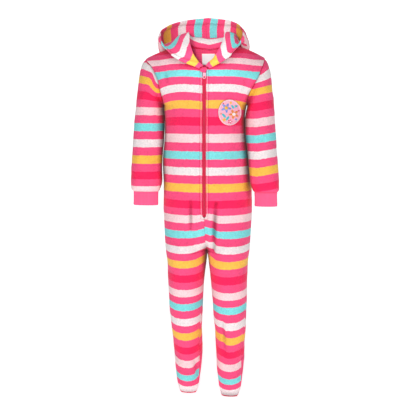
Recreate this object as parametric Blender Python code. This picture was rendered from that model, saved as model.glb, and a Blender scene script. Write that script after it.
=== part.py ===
"""A child's hooded, footed sleepsuit in striped fleece, size 116, filled out as if it were worn.

Metres, +Z up, the front faces -Y and +X is the wearer's left. The origin lies between the shoulders,
where the wearer carries the garment. One half is worked out for each side, so that a leg or the hood
can lean. Every panel is a wall built on a grid of points in the middle of its cloth.
"""

import math

import bmesh
import bpy
import numpy as np
from mathutils import Matrix, Vector
from mathutils.bvhtree import BVHTree

CLOTH = 0.0025  # fleece with its pile
RIB = 0.0024  # ribbed knit of the cuffs
SEAM_GAP = 0.0003  # between two pieces that are sewn together
ZIP_SLOT = 0.0110  # between the turned edges of the two fronts
ZIP_TOP = -0.060
ZIP_END = -0.490
UNDERARM = -0.166
HIP = -0.490  # where the legs begin to part
CROTCH = -0.600
HEEL = -0.945
ARM_ROWS = 12  # rows of the grid up an armhole
FRONT_ROWS = 5  # of those, the ones below the zip's top
BACK_ROWS = 7  # of those, the ones below the nape
PANEL_COLUMNS = 9
HEM_WIDTH = 0.021  # turned hem round the hood's face opening
HEM_STEP = 0.0014  # what the turned layer adds to the cloth
HOOD_LEAN = -0.017  # the hood sits a little towards the wearer's right
ARM_LEAN = -0.008  # so do the outer sides of the sleeves
CUFF_EVENS = 0.5  # the share of that lean which is gone at the cuffs
LEG_DROP = 0.004  # the left leg hangs this much lower, and the right one higher
ZIP_TAPE = 0.0009
ZIP_GAP = 0.0007  # between the fronts and the tape
ZIP_CHAIN = 0.0016  # how far the closed teeth stand out from the tape
CORNER_GAP = 0.0016  # added to half a seam gap where two walls meet in a sharp corner
PULL_HEIGHT = -0.0790  # the axis of the pull's crossbar
PULL_REACH = 0.0038  # from the middle of the fronts' cloth forward to that axis
PULL_THICK = 0.0015
PATCH = 0.0010
PATCH_SIZE = (0.062, 0.074)
PATCH_PLACE = (0.0715, -0.1880)
GUARD = 0.0025
GUARD_SIZE = (0.026, 0.0125)
GUARD_PLACE = (-0.002, -0.0670)
FACING = 0.0012
FACING_DEPTH = 0.056
LABEL = 0.0005
LABEL_SIZE = (0.040, 0.033)
LABEL_HEIGHT = -0.024

SIDES = {"left": 1, "right": -1}  # the wearer's sides

# Trunk: half its width, and where its middle front, its side and its middle back lie
TRUNK = {
    "height half_width front side back": [
        (-0.166, 0.1225, -0.0990, 0.004, 0.088),
        (-0.173, 0.1216, -0.0995, 0.004, 0.088),
        (-0.183, 0.1207, -0.1000, 0.004, 0.088),
        (-0.200, 0.1193, -0.1010, 0.003, 0.088),
        (-0.250, 0.1203, -0.1030, 0.003, 0.085),
        (-0.302, 0.1258, -0.1040, 0.004, 0.086),
        (-0.344, 0.1298, -0.1040, 0.005, 0.090),
        (-0.392, 0.1316, -0.1030, 0.006, 0.096),
        (-0.468, 0.1335, -0.1000, 0.008, 0.104),
        (-0.510, 0.1325, -0.0970, 0.008, 0.105),
        (-0.600, 0.1270, -0.0900, 0.008, 0.098),
    ]
}

# How far to the wearer's left the sides of the trunk and the armholes hang from their even places
SWAY = {
    "height shift": [
        (-0.420, 0.0),
        (-0.392, -0.0012),
        (-0.344, -0.0044),
        (-0.302, -0.0054),
        (-0.250, -0.0073),
        (-0.200, -0.0082),
        (-0.166, -0.0060),
    ]
}
ARM_SWAY = {"along shift": [(0.0, -0.006), (0.3, -0.004), (0.6, 0.003), (0.8, 0.001), (1.0, -0.008)]}

# Leg from the hip to the toe: the section's centre, half its width and depth, how far its front dips
# below its centre, and how many degrees its two seams are turned
LEG = {
    "height across depth half_width half_depth dip turn": [
        (-0.490, 0.0665, 0.004, 0.0665, 0.1010, 0.000, 0),
        (-0.600, 0.0640, 0.004, 0.0635, 0.0910, 0.004, 0),
        (-0.634, 0.0640, 0.004, 0.0595, 0.0840, 0.006, 0),
        (-0.679, 0.0655, 0.004, 0.0560, 0.0760, 0.008, 0),
        (-0.724, 0.0670, 0.007, 0.0530, 0.0690, 0.009, 2),
        (-0.762, 0.0680, 0.012, 0.0515, 0.0640, 0.011, 7),
        (-0.810, 0.0685, 0.021, 0.0495, 0.0590, 0.014, 18),
        (-0.860, 0.0685, 0.035, 0.0465, 0.0550, 0.017, 28),
        (-0.905, 0.0672, 0.049, 0.0445, 0.0540, 0.018, 30),
        (-0.945, 0.0670, 0.061, 0.0435, 0.0560, 0.018, 30),
        (-0.989, 0.0668, 0.063, 0.0410, 0.0500, 0.017, 26),
        (-1.019, 0.0668, 0.060, 0.0375, 0.0390, 0.014, 20),
        (-1.045, 0.0666, 0.055, 0.0330, 0.0260, 0.010, 12),
        (-1.063, 0.0664, 0.051, 0.0280, 0.0150, 0.006, 4),
        (-1.073, 0.0662, 0.049, 0.0230, 0.0070, 0.003, 0),
        (-1.077, 0.0662, 0.048, 0.0180, 0.0000, 0.000, 0),
    ]
}
LEG_ROWS = [-0.617, -0.640, -0.664, -0.690, -0.716, -0.742, -0.768]
LEG_ROWS += [-0.794, -0.820, -0.846, -0.872, -0.896, -0.921]
FOOT_ROWS = [-0.967, -0.989, -1.009, -1.028, -1.044, -1.057, -1.067, -1.074, -1.077]

# Armhole, from the armpit (0) to the shoulder's tip (1): its place across, and how far it bows
# forwards and backwards
ARMHOLE = {
    "along across depth height front back": [
        (0.00, 0.1225, 0.004, -0.166, 0.044, 0.042),
        (0.20, 0.1255, 0.004, -0.146, 0.046, 0.044),
        (0.40, 0.1350, 0.003, -0.117, 0.050, 0.048),
        (0.60, 0.1480, 0.003, -0.087, 0.049, 0.048),
        (0.80, 0.1625, 0.002, -0.056, 0.043, 0.043),
        (1.00, 0.1780, 0.002, -0.032, 0.040, 0.040),
    ]
}

# Neckline, from the zip's top (0) over the shoulder seam to the middle of the back (1)
NECK = {
    "along across depth height": [
        (0.00, 0.0055, -0.0900, -0.0600),
        (0.08, 0.0230, -0.0860, -0.0540),
        (0.17, 0.0370, -0.0760, -0.0430),
        (0.39, 0.0550, -0.0400, -0.0080),
        (0.61, 0.0600, 0.0040, 0.0200),
        (0.79, 0.0430, 0.0420, 0.0090),
        (1.00, 0.0000, 0.0620, 0.0020),
    ]
}
NECK_SHOULDER = 0.61  # the shoulder seam's place along the neckline

# Sleeve, a row for each ring from the armhole to the cuff: its inner and outer side, its middle and
# half its depth
SLEEVE = {
    "ring inner inner_height outer outer_height depth half_depth": [
        (0, 0.1225, -0.1660, 0.1780, -0.0320, 0.003, 0.046),
        (1, 0.1290, -0.1688, 0.1865, -0.0450, 0.002, 0.047),
        (2, 0.1284, -0.1750, 0.1940, -0.0700, 0.001, 0.049),
        (3, 0.1260, -0.1860, 0.1990, -0.1060, -0.001, 0.050),
        (4, 0.1233, -0.2030, 0.2040, -0.1500, -0.005, 0.050),
        (5, 0.1230, -0.2300, 0.2085, -0.2020, -0.011, 0.049),
        (6, 0.1245, -0.2650, 0.2120, -0.2520, -0.018, 0.048),
        (7, 0.1282, -0.3080, 0.2155, -0.3020, -0.025, 0.046),
        (8, 0.1310, -0.3520, 0.2190, -0.3500, -0.032, 0.043),
        (9, 0.1325, -0.3900, 0.2210, -0.3900, -0.037, 0.038),
        (10, 0.1385, -0.4130, 0.2205, -0.4130, -0.040, 0.029),
        (11, 0.1440, -0.4230, 0.2150, -0.4230, -0.041, 0.018),
    ]
}
SLEEVE_RINGS = [0, 0.8, 1.5, 2.2, 3, 4, 5, 6, 7, 8, 9, 10, 10.6, 11]

# Cuff, downwards from the sleeve: the middle of its flattened tube, and half its width and depth
CUFF = {
    "height across depth half_width half_depth": [
        (-0.4230, 0.1795, -0.0410, 0.0355, 0.0180),
        (-0.4290, 0.1795, -0.0412, 0.0340, 0.0160),
        (-0.4450, 0.1798, -0.0416, 0.0338, 0.0155),
        (-0.4640, 0.1802, -0.0420, 0.0345, 0.0150),
    ]
}

# Hood: lines that run round it from the zip's top (0) to the middle of the back (1). They go up from
# the neckline, over the fold at the neck, down into the bag behind the back and up to the face opening
HOOD = {
    "stand": {
        "along across depth height": [
            (0.00, 0.0060, -0.0925, -0.0570),
            (0.20, 0.0360, -0.0810, -0.0330),
            (0.35, 0.0490, -0.0540, -0.0040),
            (0.50, 0.0560, -0.0200, 0.0220),
            (0.65, 0.0580, 0.0180, 0.0330),
            (0.80, 0.0440, 0.0500, 0.0270),
            (1.00, 0.0000, 0.0720, 0.0240),
        ]
    },
    "fold": {
        "along across depth height": [
            (0.00, 0.0070, -0.0950, -0.0540),
            (0.20, 0.0370, -0.0860, -0.0150),
            (0.35, 0.0480, -0.0560, 0.0180),
            (0.50, 0.0570, -0.0160, 0.0460),
            (0.65, 0.0650, 0.0260, 0.0480),
            (0.80, 0.0580, 0.0640, 0.0450),
            (1.00, 0.0000, 0.0900, 0.0430),
        ]
    },
    "roll": {
        "along across depth height": [
            (0.00, 0.0090, -0.0965, -0.0530),
            (0.20, 0.0470, -0.0890, -0.0160),
            (0.35, 0.0620, -0.0600, 0.0140),
            (0.50, 0.0760, -0.0160, 0.0390),
            (0.65, 0.0840, 0.0330, 0.0370),
            (0.80, 0.0760, 0.0800, 0.0280),
            (1.00, 0.0000, 0.1060, 0.0220),
        ]
    },
    "slope": {
        "along across depth height": [
            (0.00, 0.0100, -0.0970, -0.0530),
            (0.20, 0.0560, -0.0860, -0.0230),
            (0.35, 0.0800, -0.0580, 0.0040),
            (0.50, 0.0960, -0.0120, 0.0200),
            (0.65, 0.1040, 0.0440, 0.0060),
            (0.80, 0.0880, 0.0960, -0.0280),
            (1.00, 0.0000, 0.1110, -0.0400),
        ]
    },
    "valley": {
        "along across depth height": [
            (0.00, 0.0110, -0.0970, -0.0530),
            (0.20, 0.0620, -0.0820, -0.0260),
            (0.35, 0.0940, -0.0520, -0.0010),
            (0.50, 0.1130, -0.0060, 0.0120),
            (0.65, 0.1210, 0.0620, -0.0340),
            (0.80, 0.0980, 0.1150, -0.0920),
            (1.00, 0.0000, 0.1300, -0.1200),
        ]
    },
    "rise": {
        "along across depth height": [
            (0.00, 0.0120, -0.0968, -0.0525),
            (0.20, 0.0660, -0.0800, -0.0260),
            (0.35, 0.1030, -0.0480, 0.0010),
            (0.50, 0.1280, -0.0040, 0.0200),
            (0.65, 0.1380, 0.0580, 0.0100),
            (0.80, 0.1160, 0.1230, -0.0100),
            (1.00, 0.0000, 0.1640, -0.0400),
        ]
    },
    "hem": {
        "along across depth height": [
            (0.00, 0.0125, -0.0965, -0.0520),
            (0.20, 0.0690, -0.0770, -0.0240),
            (0.35, 0.1090, -0.0450, 0.0060),
            (0.50, 0.1310, -0.0030, 0.0350),
            (0.65, 0.1260, 0.0520, 0.0500),
            (0.80, 0.0960, 0.0930, 0.0640),
            (1.00, 0.0000, 0.1240, 0.0680),
        ]
    },
    "face": {
        "along across depth height": [
            (0.00, 0.0130, -0.0960, -0.0515),
            (0.20, 0.0700, -0.0740, -0.0200),
            (0.35, 0.1110, -0.0420, 0.0120),
            (0.50, 0.1250, -0.0040, 0.0470),
            (0.65, 0.1120, 0.0480, 0.0710),
            (0.80, 0.0730, 0.0850, 0.0900),
            (1.00, 0.0000, 0.1010, 0.1010),
        ]
    },
}
HOOD_ROWS = 12  # from the neckline to the hem's stitching
# The share of the lean that each stage takes, and of the lift where it leans in over a shoulder
HOOD_STAGES_LEAN = {"stand": -0.02, "fold": 0.25, "roll": 0.45, "slope": 0.75}
HOOD_STAGES_LIFT = {"roll": 0.2, "slope": 0.4, "valley": 0.4}


def column(sections, name):
    """The named column of a table, and its first one."""
    (names, rows), = sections.items()
    rows = np.array(rows, float)
    names = names.split()
    return rows[:, 0], rows[:, names.index(name)]


def read(sections, name, at):
    """The named column at places along the first one, on a smooth curve that doesn't overshoot."""
    x, y = column(sections, name)
    if x[0] > x[-1]:
        x, y = x[::-1], y[::-1]
    return through(x, y, at)


def through(x, y, at):
    """A smooth curve through points, which keeps their rises and falls."""
    step = np.diff(x)
    slope = np.diff(y) / step
    before, after = slope[:-1], slope[1:]
    same = before * after > 0
    outer, inner = step[:-1] + 2 * step[1:], 2 * step[:-1] + step[1:]
    mean = outer / np.where(same, before, 1) + inner / np.where(same, after, 1)
    bend = np.where(same, (outer + inner) / np.where(same, mean, 1), 0)
    tangent = np.concatenate([slope[:1], bend, slope[-1:]])
    at = np.clip(np.asarray(at, float), x[0], x[-1])
    i = np.clip(np.searchsorted(x, at, side="right") - 1, 0, len(step) - 1)
    t = (at - x[i]) / step[i]
    return (
        y[i] * (1 + 2 * t) * (1 - t) ** 2
        + y[i + 1] * t * t * (3 - 2 * t)
        + step[i] * tangent[i] * t * (1 - t) ** 2
        + step[i] * tangent[i + 1] * t * t * (t - 1)
    )


def neckline(along):
    """Points of the neckline."""
    return np.stack([read(NECK, name, along) for name in ("across", "depth", "height")], axis=-1)


def leaning(turn, side):
    """How far the outer side of an arm lies from its even place, turned from its inner side (0)."""
    return ARM_LEAN * side * (1 - np.cos(turn)) / 2


def armhole(turn, face, side):
    """Points of the armhole, turned from the armpit (0) to the shoulder's tip (pi) over the front or back."""
    along = (1 - np.cos(turn)) / 2
    bow = read(ARMHOLE, face, along) * np.sin(turn) * (-1 if face == "front" else 1)
    return np.stack(
        [
            read(ARMHOLE, "across", along) + side * read(ARM_SWAY, "shift", along),
            read(ARMHOLE, "depth", along) + bow,
            read(ARMHOLE, "height", along),
        ],
        axis=-1,
    )


def upper_panel(face, side):
    """Grid of one front or back between the armpit and the shoulder seam. Its rows run outwards."""
    middle_rows = FRONT_ROWS if face == "front" else BACK_ROWS
    rows = []
    for row in range(ARM_ROWS + 1):
        outer = armhole(math.pi * row / ARM_ROWS, face, side)
        if row <= middle_rows:
            rise = row / middle_rows
            corner = neckline(0.0 if face == "front" else 1.0)
            base = read(TRUNK, face, UNDERARM)
            inner = np.array([corner[0], 0, UNDERARM + (corner[2] - UNDERARM) * rise])
            inner[1] = base + (corner[1] - base) * rise**2
        else:
            part = (row - middle_rows) / (ARM_ROWS - middle_rows)
            along = NECK_SHOULDER * part if face == "front" else 1 - (1 - NECK_SHOULDER) * part
            inner = neckline(along)
        turn = np.linspace(0, math.pi / 2, PANEL_COLUMNS + 1)
        across, away = np.sin(turn) ** 0.92, 1 - np.cos(turn) ** 0.92
        points = np.stack([across, away, across], axis=-1) * (outer - inner) + inner
        points[:, 2] += 0.004 * np.sin(turn * 2) * row / ARM_ROWS
        rows.append(points)
    return np.array(rows)


def parting(height, turn):
    """How far a row has turned from half of the trunk (0) to a whole leg (1): suddenly by the seat seam,
    which curves under the body, and gently further out."""
    fall = np.clip((HIP - height) / (HIP - CROTCH), 0, 1)
    seam = 1 - math.sqrt(1 - fall**2)
    out = np.clip(turn / 0.6, 0, 1)
    out = out * out * (3 - 2 * out)
    return seam * (1 - out) + fall * fall * (3 - 2 * fall) * out


def lower_row(height, face, side):
    """Points of one row below the armpit, from the middle or the inner leg outwards."""
    turn = np.linspace(0, 1, PANEL_COLUMNS + 1)
    sign = -1 if face == "front" else 1
    quarter = turn * math.pi / 2
    middle, edge = read(TRUNK, face, height), read(TRUNK, "side", height)
    slot = ZIP_SLOT / 2 * (face == "front") * (height >= ZIP_END)
    width = read(TRUNK, "half_width", height) + side * read(SWAY, "shift", height) - slot
    trunk_x = slot + width * np.sin(quarter) ** 0.92
    trunk_y = edge + (middle - edge) * np.cos(quarter) ** 0.92
    twist = math.radians(read(LEG, "turn", height)) * side
    angle = turn * math.pi + twist * sign
    leg_x = read(LEG, "across", height) - read(LEG, "half_width", height) * np.cos(angle)
    leg_y = read(LEG, "depth", height) + sign * read(LEG, "half_depth", height) * np.sin(angle)
    part = parting(height, turn)
    x = trunk_x * (1 - part) + leg_x * part
    y = trunk_y * (1 - part) + leg_y * part
    if CROTCH <= height < ZIP_END:
        x = x - x.min() * (1 - turn)
    forward = (y - read(LEG, "depth", height)) / max(read(LEG, "half_depth", height), 1e-3)
    dip = read(LEG, "dip", height) * forward
    hang = np.clip((CROTCH - height) / 0.15, 0, 1)
    drop = LEG_DROP * side * hang * hang * (3 - 2 * hang)
    return np.stack([x, y, height - drop + dip * (height < HIP)], axis=-1)


def lower_heights():
    """Heights of the rows from the armpit to the heel."""
    trunk = [UNDERARM, -0.173, -0.183, -0.200, *np.linspace(-0.232, HIP, 8)]
    seat = HIP + (CROTCH - HIP) * np.sin(np.linspace(0, math.pi / 2, 7))
    return [*trunk, ZIP_END - 0.004, *seat[1:], *LEG_ROWS, HEEL]


def sleeve_grid(side):
    """Rings of a sleeve, from the armhole down. They start at the armpit and run over the front."""
    turn = np.linspace(0, 2 * math.pi, 2 * ARM_ROWS + 1)[:-1]
    front = armhole(turn[: ARM_ROWS + 1], "front", side)
    hole = np.concatenate([front, armhole(2 * math.pi - turn[ARM_ROWS + 1 :], "back", side)])

    def oval(ring):
        inner, outer = (
            np.array([read(SLEEVE, name, ring) for name in (edge, "depth", f"{edge}_height")])
            for edge in ("inner", "outer")
        )
        swing = np.outer(np.cos(turn), (inner - outer) / 2)
        swing[:, 0] += leaning(turn, side) * (1 - CUFF_EVENS * np.clip((ring - 7) / 4, 0, 1))
        swing[:, 0] += side * read(SWAY, "shift", inner[2]) * (1 + np.cos(turn)) / 2
        swing[:, 1] -= np.sin(turn) * read(SLEEVE, "half_depth", ring)
        return (inner + outer) / 2 + swing

    rings = []
    for ring in SLEEVE_RINGS:
        keep = max(0.0, 1 - ring / 3) ** 2
        rings.append(oval(ring) + (hole - oval(0)) * keep)
    return np.array(rings)


def cuff_grid(side):
    """Rings of a cuff, turned like those of the sleeve."""
    turn = np.linspace(0, 2 * math.pi, 2 * ARM_ROWS + 1)[:-1]
    rings = []
    for height in column(CUFF, "height")[0]:
        x = read(CUFF, "across", height) - read(CUFF, "half_width", height) * np.cos(turn)
        x = x + leaning(turn, side) * (1 - CUFF_EVENS)
        y = read(CUFF, "depth", height) - read(CUFF, "half_depth", height) * np.sin(turn)
        rings.append(np.stack([x, y, np.full_like(x, height)], axis=-1))
    return np.array(rings)


def hood_grid(side):
    """Columns of half a hood, from the zip's top to the back, as rows from the neckline to the face."""
    front_count, back_count = ARM_ROWS - FRONT_ROWS, ARM_ROWS - BACK_ROWS
    front = NECK_SHOULDER * np.arange(front_count + 1) / front_count
    back = NECK_SHOULDER + (1 - NECK_SHOULDER) * np.arange(1, back_count + 1) / back_count
    columns = []
    for along in [*front, *back]:
        stages = [neckline(along)]
        lean = HOOD_LEAN * side * min(1, along / 0.4)
        for name, stage in HOOD.items():
            point = np.array([read(stage, axis, along) for axis in ("across", "depth", "height")])
            point[0] += lean * HOOD_STAGES_LEAN.get(name, 1)
            point[2] -= min(lean, 0) * HOOD_STAGES_LIFT.get(name, 0) * 4 * along * (1 - along)
            stages.append(point)
        stages = np.array(stages)
        reach = np.concatenate([[0], np.cumsum(np.linalg.norm(np.diff(stages, axis=0), axis=1))])
        hem = reach[-1] - min(HEM_WIDTH, reach[-1] * 0.45)
        places = [*np.linspace(0, hem, HOOD_ROWS + 1), hem + 0.0008, (hem + reach[-1]) / 2, reach[-1]]
        columns.append(np.stack([through(reach, stages[:, i], places) for i in range(3)], axis=-1))
    return np.swapaxes(np.array(columns), 0, 1)


def place_key(point):
    """A point's place to 0.02 mm, by which the pieces that meet there find each other."""
    return tuple(np.round(np.asarray(point) / 2e-5 + 0.19).astype(int))


def shared_normals(grids):
    """Normals of every grid's points, with each piece's own ones. Where pieces meet, they share one, so that
    their edges are mitred."""
    total = {}
    found = {}
    for name, (points, closed, sign) in grids.items():
        rows, columns = points.shape[:2]
        normal = np.zeros_like(points)
        for i in range(rows - 1):
            for j in range(columns - (0 if closed else 1)):
                k = (j + 1) % columns
                across = points[i + 1, k] - points[i, j]
                down = points[i + 1, j] - points[i, k]
                face = np.cross(across, down) * sign
                for a, b in ((i, j), (i, k), (i + 1, j), (i + 1, k)):
                    normal[a, b] += face
        found[name] = normal
        for i in range(rows):
            for j in range(columns):
                key = place_key(points[i, j])
                total[key] = total.get(key, 0) + normal[i, j]
    shared = {}
    for name, (points, _, _) in grids.items():
        own = found[name]
        shared[name] = np.zeros_like(own)
        for i in np.ndindex(points.shape[:2]):
            shared[name][i] = total[place_key(points[i])]
        for normal in (own, shared[name]):
            normal /= np.maximum(np.linalg.norm(normal, axis=-1, keepdims=True), 1e-12)
    return shared, found


def spread(points, name, part):
    """A piece's object, with its own material, in the garment's collection."""
    mesh = bpy.data.meshes.new(name)
    mesh.from_pydata(points[0], [], points[1])
    mesh.shade_smooth()
    mesh.set_sharp_from_angle(angle=math.radians(50))
    mesh.materials.append(material(name, *part))
    made = bpy.data.objects.new(name, mesh)
    garment.objects.link(made)
    return made


def material(name, colour, roughness=0.95, metallic=0.0):
    """A plain Principled material in one colour, given as sRGB hex."""
    made = bpy.data.materials.new(name)
    made.use_nodes = True
    shader = made.node_tree.nodes["Principled BSDF"]
    parts = [int(colour[i : i + 2], 16) / 255 for i in (0, 2, 4)]
    linear = [c / 12.92 if c <= 0.04045 else ((c + 0.055) / 1.055) ** 2.4 for c in parts]
    shader.inputs["Base Color"].default_value = (*linear, 1)
    shader.inputs["Roughness"].default_value = roughness
    shader.inputs["Metallic"].default_value = metallic
    return made


def pull_in(points, own, closed, seams, agree):
    """The grid with its sewn edges drawn in square to the seam by half a seam gap, and by more in a sharp
    corner. Seams names the edges: T, B, L and R."""
    drawn = points.copy()
    gap = SEAM_GAP / 2 + CORNER_GAP * (1 - agree)
    for edge, here, there in (
        ("T", np.s_[0], np.s_[1]),
        ("B", np.s_[-1], np.s_[-2]),
        ("L", np.s_[:, 0], np.s_[:, 1]),
        ("R", np.s_[:, -1], np.s_[:, -2]),
    ):
        if edge in seams and not (closed and edge in "LR"):
            line = points[here]
            ahead = np.roll(line, -1, axis=0) - np.roll(line, 1, axis=0)
            tangent = ahead if closed else np.gradient(line, axis=0)
            way = np.cross(own[here], tangent)
            way /= np.maximum(np.linalg.norm(way, axis=-1, keepdims=True), 1e-9)
            inwards = np.sign((way * (points[there] - line)).sum())
            drawn[here] += way * inwards * gap[here]
    return drawn


def wall(points, normals, own=None, closed=False, seams="", outside=CLOTH / 2, inside=CLOTH / 2):
    """Corners and faces of a wall round a grid. Its two halves may be a number or one for each row or point.
    In a sharp corner between two pieces it thins outwards."""
    rows, columns = points.shape[:2]
    own = normals if own is None else own
    agree = np.clip((own * normals).sum(axis=-1, keepdims=True) / 0.75, 0.2, 1)
    middle = pull_in(points, own, closed, seams, agree)
    out = middle + normals * outside * agree
    back = middle - normals * inside * np.maximum(agree, 0.5)
    corners = np.concatenate([out.reshape(-1, 3), back.reshape(-1, 3)])
    step = rows * columns
    spans = columns if closed else columns - 1

    def at(i, j):
        return i * columns + j % columns

    faces = []
    for i in range(rows - 1):
        for j in range(spans):
            outer = [at(i, j), at(i, j + 1), at(i + 1, j + 1), at(i + 1, j)]
            faces += [outer, [step + corner for corner in reversed(outer)]]
    edges = [(at(0, j + 1), at(0, j)) for j in range(spans)]
    edges += [(at(rows - 1, j), at(rows - 1, j + 1)) for j in range(spans)]
    if not closed:
        edges += [(at(i, 0), at(i + 1, 0)) for i in range(rows - 1)]
        edges += [(at(i + 1, columns - 1), at(i, columns - 1)) for i in range(rows - 1)]
    faces += [[one, two, step + two, step + one] for one, two in edges]
    turned = np.cross(points[:-1, 1:] - points[:-1, :-1], points[1:, :-1] - points[:-1, :-1])
    if (turned * normals[:-1, :-1]).sum() < 0:
        faces = [face[::-1] for face in faces]
    return corners.tolist(), faces


def mirrored(points, side):
    """The points on the wearer's left (1) or right (-1) side."""
    return points * np.array([side, 1, 1])


def cloth_grids():
    """Grid of every cloth piece, whether it closes round, and which way its outer side faces."""
    grids = {}
    heights = lower_heights()
    for word, side in SIDES.items():
        for face in ("front", "back"):
            lower = heights[1:] + (FOOT_ROWS if face == "front" else [])
            rows = [*upper_panel(face, side)[::-1], *[lower_row(height, face, side) for height in lower]]
            way = -side if face == "front" else side
            grids[f"{face}_{word}"] = (mirrored(np.array(rows), side), False, way)
        sole = np.array([lower_row(height, "back", side) for height in [HEEL, *FOOT_ROWS]])
        grids[f"sole_{word}"] = (mirrored(sole, side), False, side)
        grids[f"sleeve_{word}"] = (mirrored(sleeve_grid(side), side), True, -side)
        grids[f"cuff_{word}"] = (mirrored(cuff_grid(side), side), True, -side)
        grids[f"hood_{word}"] = (mirrored(hood_grid(side), side), False, side)
    return grids


def sew_cloth():
    """Every panel as a wall of cloth."""
    grids = cloth_grids()
    normals, own = shared_normals(grids)
    for name, (points, closed, _) in grids.items():
        kind = name.split("_")[0]
        half = (RIB if kind == "cuff" else CLOTH) / 2
        inside = np.full((len(points), 1, 1), half)
        if kind == "hood":
            inside[-3:] += HEM_STEP
        seams = {"hood": "TR", "cuff": "T"}.get(kind, "TBLR")
        colour = "ff709a" if kind in ("cuff", "sole") else "ff5285"
        spread(wall(points, normals[name], own[name], closed, seams, half, inside), name, (colour,))


def centre_front(height):
    """How far forward the middle of the cloth lies beside the zip."""
    rise = (np.asarray(height, float) - UNDERARM) / (ZIP_TOP - UNDERARM)
    base = read(TRUNK, "front", UNDERARM)
    above = base + (read(NECK, "depth", 0) - base) * np.maximum(rise, 0) ** 2
    return np.where(rise > 0, above, read(TRUNK, "front", height))


def zip_tape():
    """Both tapes with the closed teeth between them, behind the slot."""
    across = np.array([-0.0100, -0.0032, -0.0026, 0.0026, 0.0032, 0.0100])
    proud = ZIP_TAPE / 2 + np.array([0, 0, 1, 1, 0, 0]).reshape(-1, 1, 1) * ZIP_CHAIN
    heights = np.linspace(ZIP_TOP - 0.003, ZIP_END - 0.001, 20)
    depths = centre_front(heights) + CLOTH / 2 + ZIP_GAP + ZIP_TAPE / 2
    points = np.array([np.stack([np.full_like(heights, x), depths, heights], axis=-1) for x in across])
    normals = np.zeros_like(points) + np.array([0, -1, 0])
    spread(wall(points, normals, None, False, "", proud, ZIP_TAPE / 2), "zip_tape", ("e32a51", 0.8))


def rounded_box(shaped, size, place, bevel):
    """A box with rounded edges, added to a mesh."""
    made = bmesh.ops.create_cube(shaped, size=1, matrix=Matrix.LocRotScale(place, None, size))
    edges = list({edge for corner in made["verts"] for edge in corner.link_edges})
    bmesh.ops.bevel(shaped, geom=edges, offset=bevel, segments=2, affect="EDGES", profile=0.5)


def mesh_object(name, shaped, part, collection):
    """An object from a bmesh."""
    mesh = bpy.data.meshes.new(name)
    shaped.to_mesh(mesh)
    shaped.free()
    if part:
        mesh.materials.append(material(name, *part))
    made = bpy.data.objects.new(name, mesh)
    collection.objects.link(made)
    return made


def zip_slope():
    """How far the front leans back beside the slider."""
    rise = float(centre_front(PULL_HEIGHT + 0.002) - centre_front(PULL_HEIGHT - 0.002))
    return -math.atan2(rise, 0.004)


def zip_slider():
    """The slider's front plate with the bridge that carries the pull."""
    plate = bmesh.new()
    rounded_box(plate, (0.0084, 0.0018, 0.0105), (0, -0.0013, -0.0010), 0.0005)
    slider = mesh_object("zip_slider", plate, ("f4a9c4", 0.35), garment)
    outer = [(0.0026, -0.0029), (0.0026, 0.0029), (-0.0018, 0.0029), (-0.0024, 0.0023), (-0.0024, -0.0023)]
    outer.append((-0.0018, -0.0029))
    inner = [(0.0017, -0.0020), (0.0017, 0.0020), (-0.0011, 0.0020), (-0.0015, 0.0016), (-0.0015, -0.0016)]
    inner.append((-0.0011, -0.0020))
    arch = bmesh.new()
    rims = [
        [[arch.verts.new((x, y - PULL_REACH, z)) for y, z in loop] for loop in (outer, inner)]
        for x in (-0.0012, 0.0012)
    ]
    for i in range(6):
        k = (i + 1) % 6
        for big, small in rims:
            arch.faces.new([big[i], big[k], small[k], small[i]])
        for loop in (0, 1):
            arch.faces.new([rims[0][loop][i], rims[0][loop][k], rims[1][loop][k], rims[1][loop][i]])
    bmesh.ops.recalc_face_normals(arch, faces=arch.faces)
    bridge = mesh_object("slider_bridge", arch, None, tools)
    bridge.hide_render = True
    bridge.display_type = "WIRE"
    join = slider.modifiers.new("bridge", "BOOLEAN")
    join.operation = "UNION"
    join.object = bridge
    for made in (slider, bridge):
        made.location = (0, float(centre_front(PULL_HEIGHT)), PULL_HEIGHT)
        made.rotation_euler = (zip_slope(), 0, 0)


def zip_pull():
    """The ring-shaped pull, as an extruded outline. Its origin is on the axis of its crossbar."""
    drop, ring, hole = 0.0092, 0.0050, 0.0029
    half, bar, slot, slot_end = 0.0026, 0.0008, 0.0017, -0.0040
    start = math.asin(half / ring)
    turns = np.linspace(start, 2 * math.pi - start, 22)
    outline = [(-half, bar), (half, bar)] + [(ring * math.sin(t), ring * math.cos(t) - drop) for t in turns]
    window = [(-slot, -bar), (slot, -bar), (slot, slot_end), (-slot, slot_end)]
    full_turn = np.linspace(0, 2 * math.pi, 17)[:-1]
    round_hole = [(hole * math.sin(t), hole * math.cos(t) - drop) for t in full_turn]
    flat = bpy.data.curves.new("zip_pull", "CURVE")
    flat.dimensions = "2D"
    flat.fill_mode = "BOTH"
    flat.extrude = PULL_THICK / 2
    for loop in (outline, window, round_hole):
        spline = flat.splines.new("POLY")
        spline.points.add(len(loop) - 1)
        for point, (x, y) in zip(spline.points, loop):
            point.co = (x, y, 0, 1)
        spline.use_cyclic_u = True
    flat.materials.append(material("zip_pull", "f9c3d4", 0.35))
    made = bpy.data.objects.new("zip_pull", flat)
    slope = zip_slope()
    made.rotation_euler = (math.pi / 2 + slope, 0, 0)
    depth = float(centre_front(PULL_HEIGHT)) - PULL_REACH * math.cos(slope)
    made.location = (0, depth, PULL_HEIGHT - PULL_REACH * math.sin(slope))
    garment.objects.link(made)


def squared_disc(across, upright, count, round_part):
    """A grid over a plate whose corners are rounded: 1 makes it an oval, 0 leaves it square."""
    one = np.linspace(-1, 1, count)
    u, v = np.meshgrid(one, -one)
    x = u * np.sqrt(1 - round_part * v * v / 2)
    z = v * np.sqrt(1 - round_part * u * u / 2)
    return x * across / 2, z * upright / 2


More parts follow.
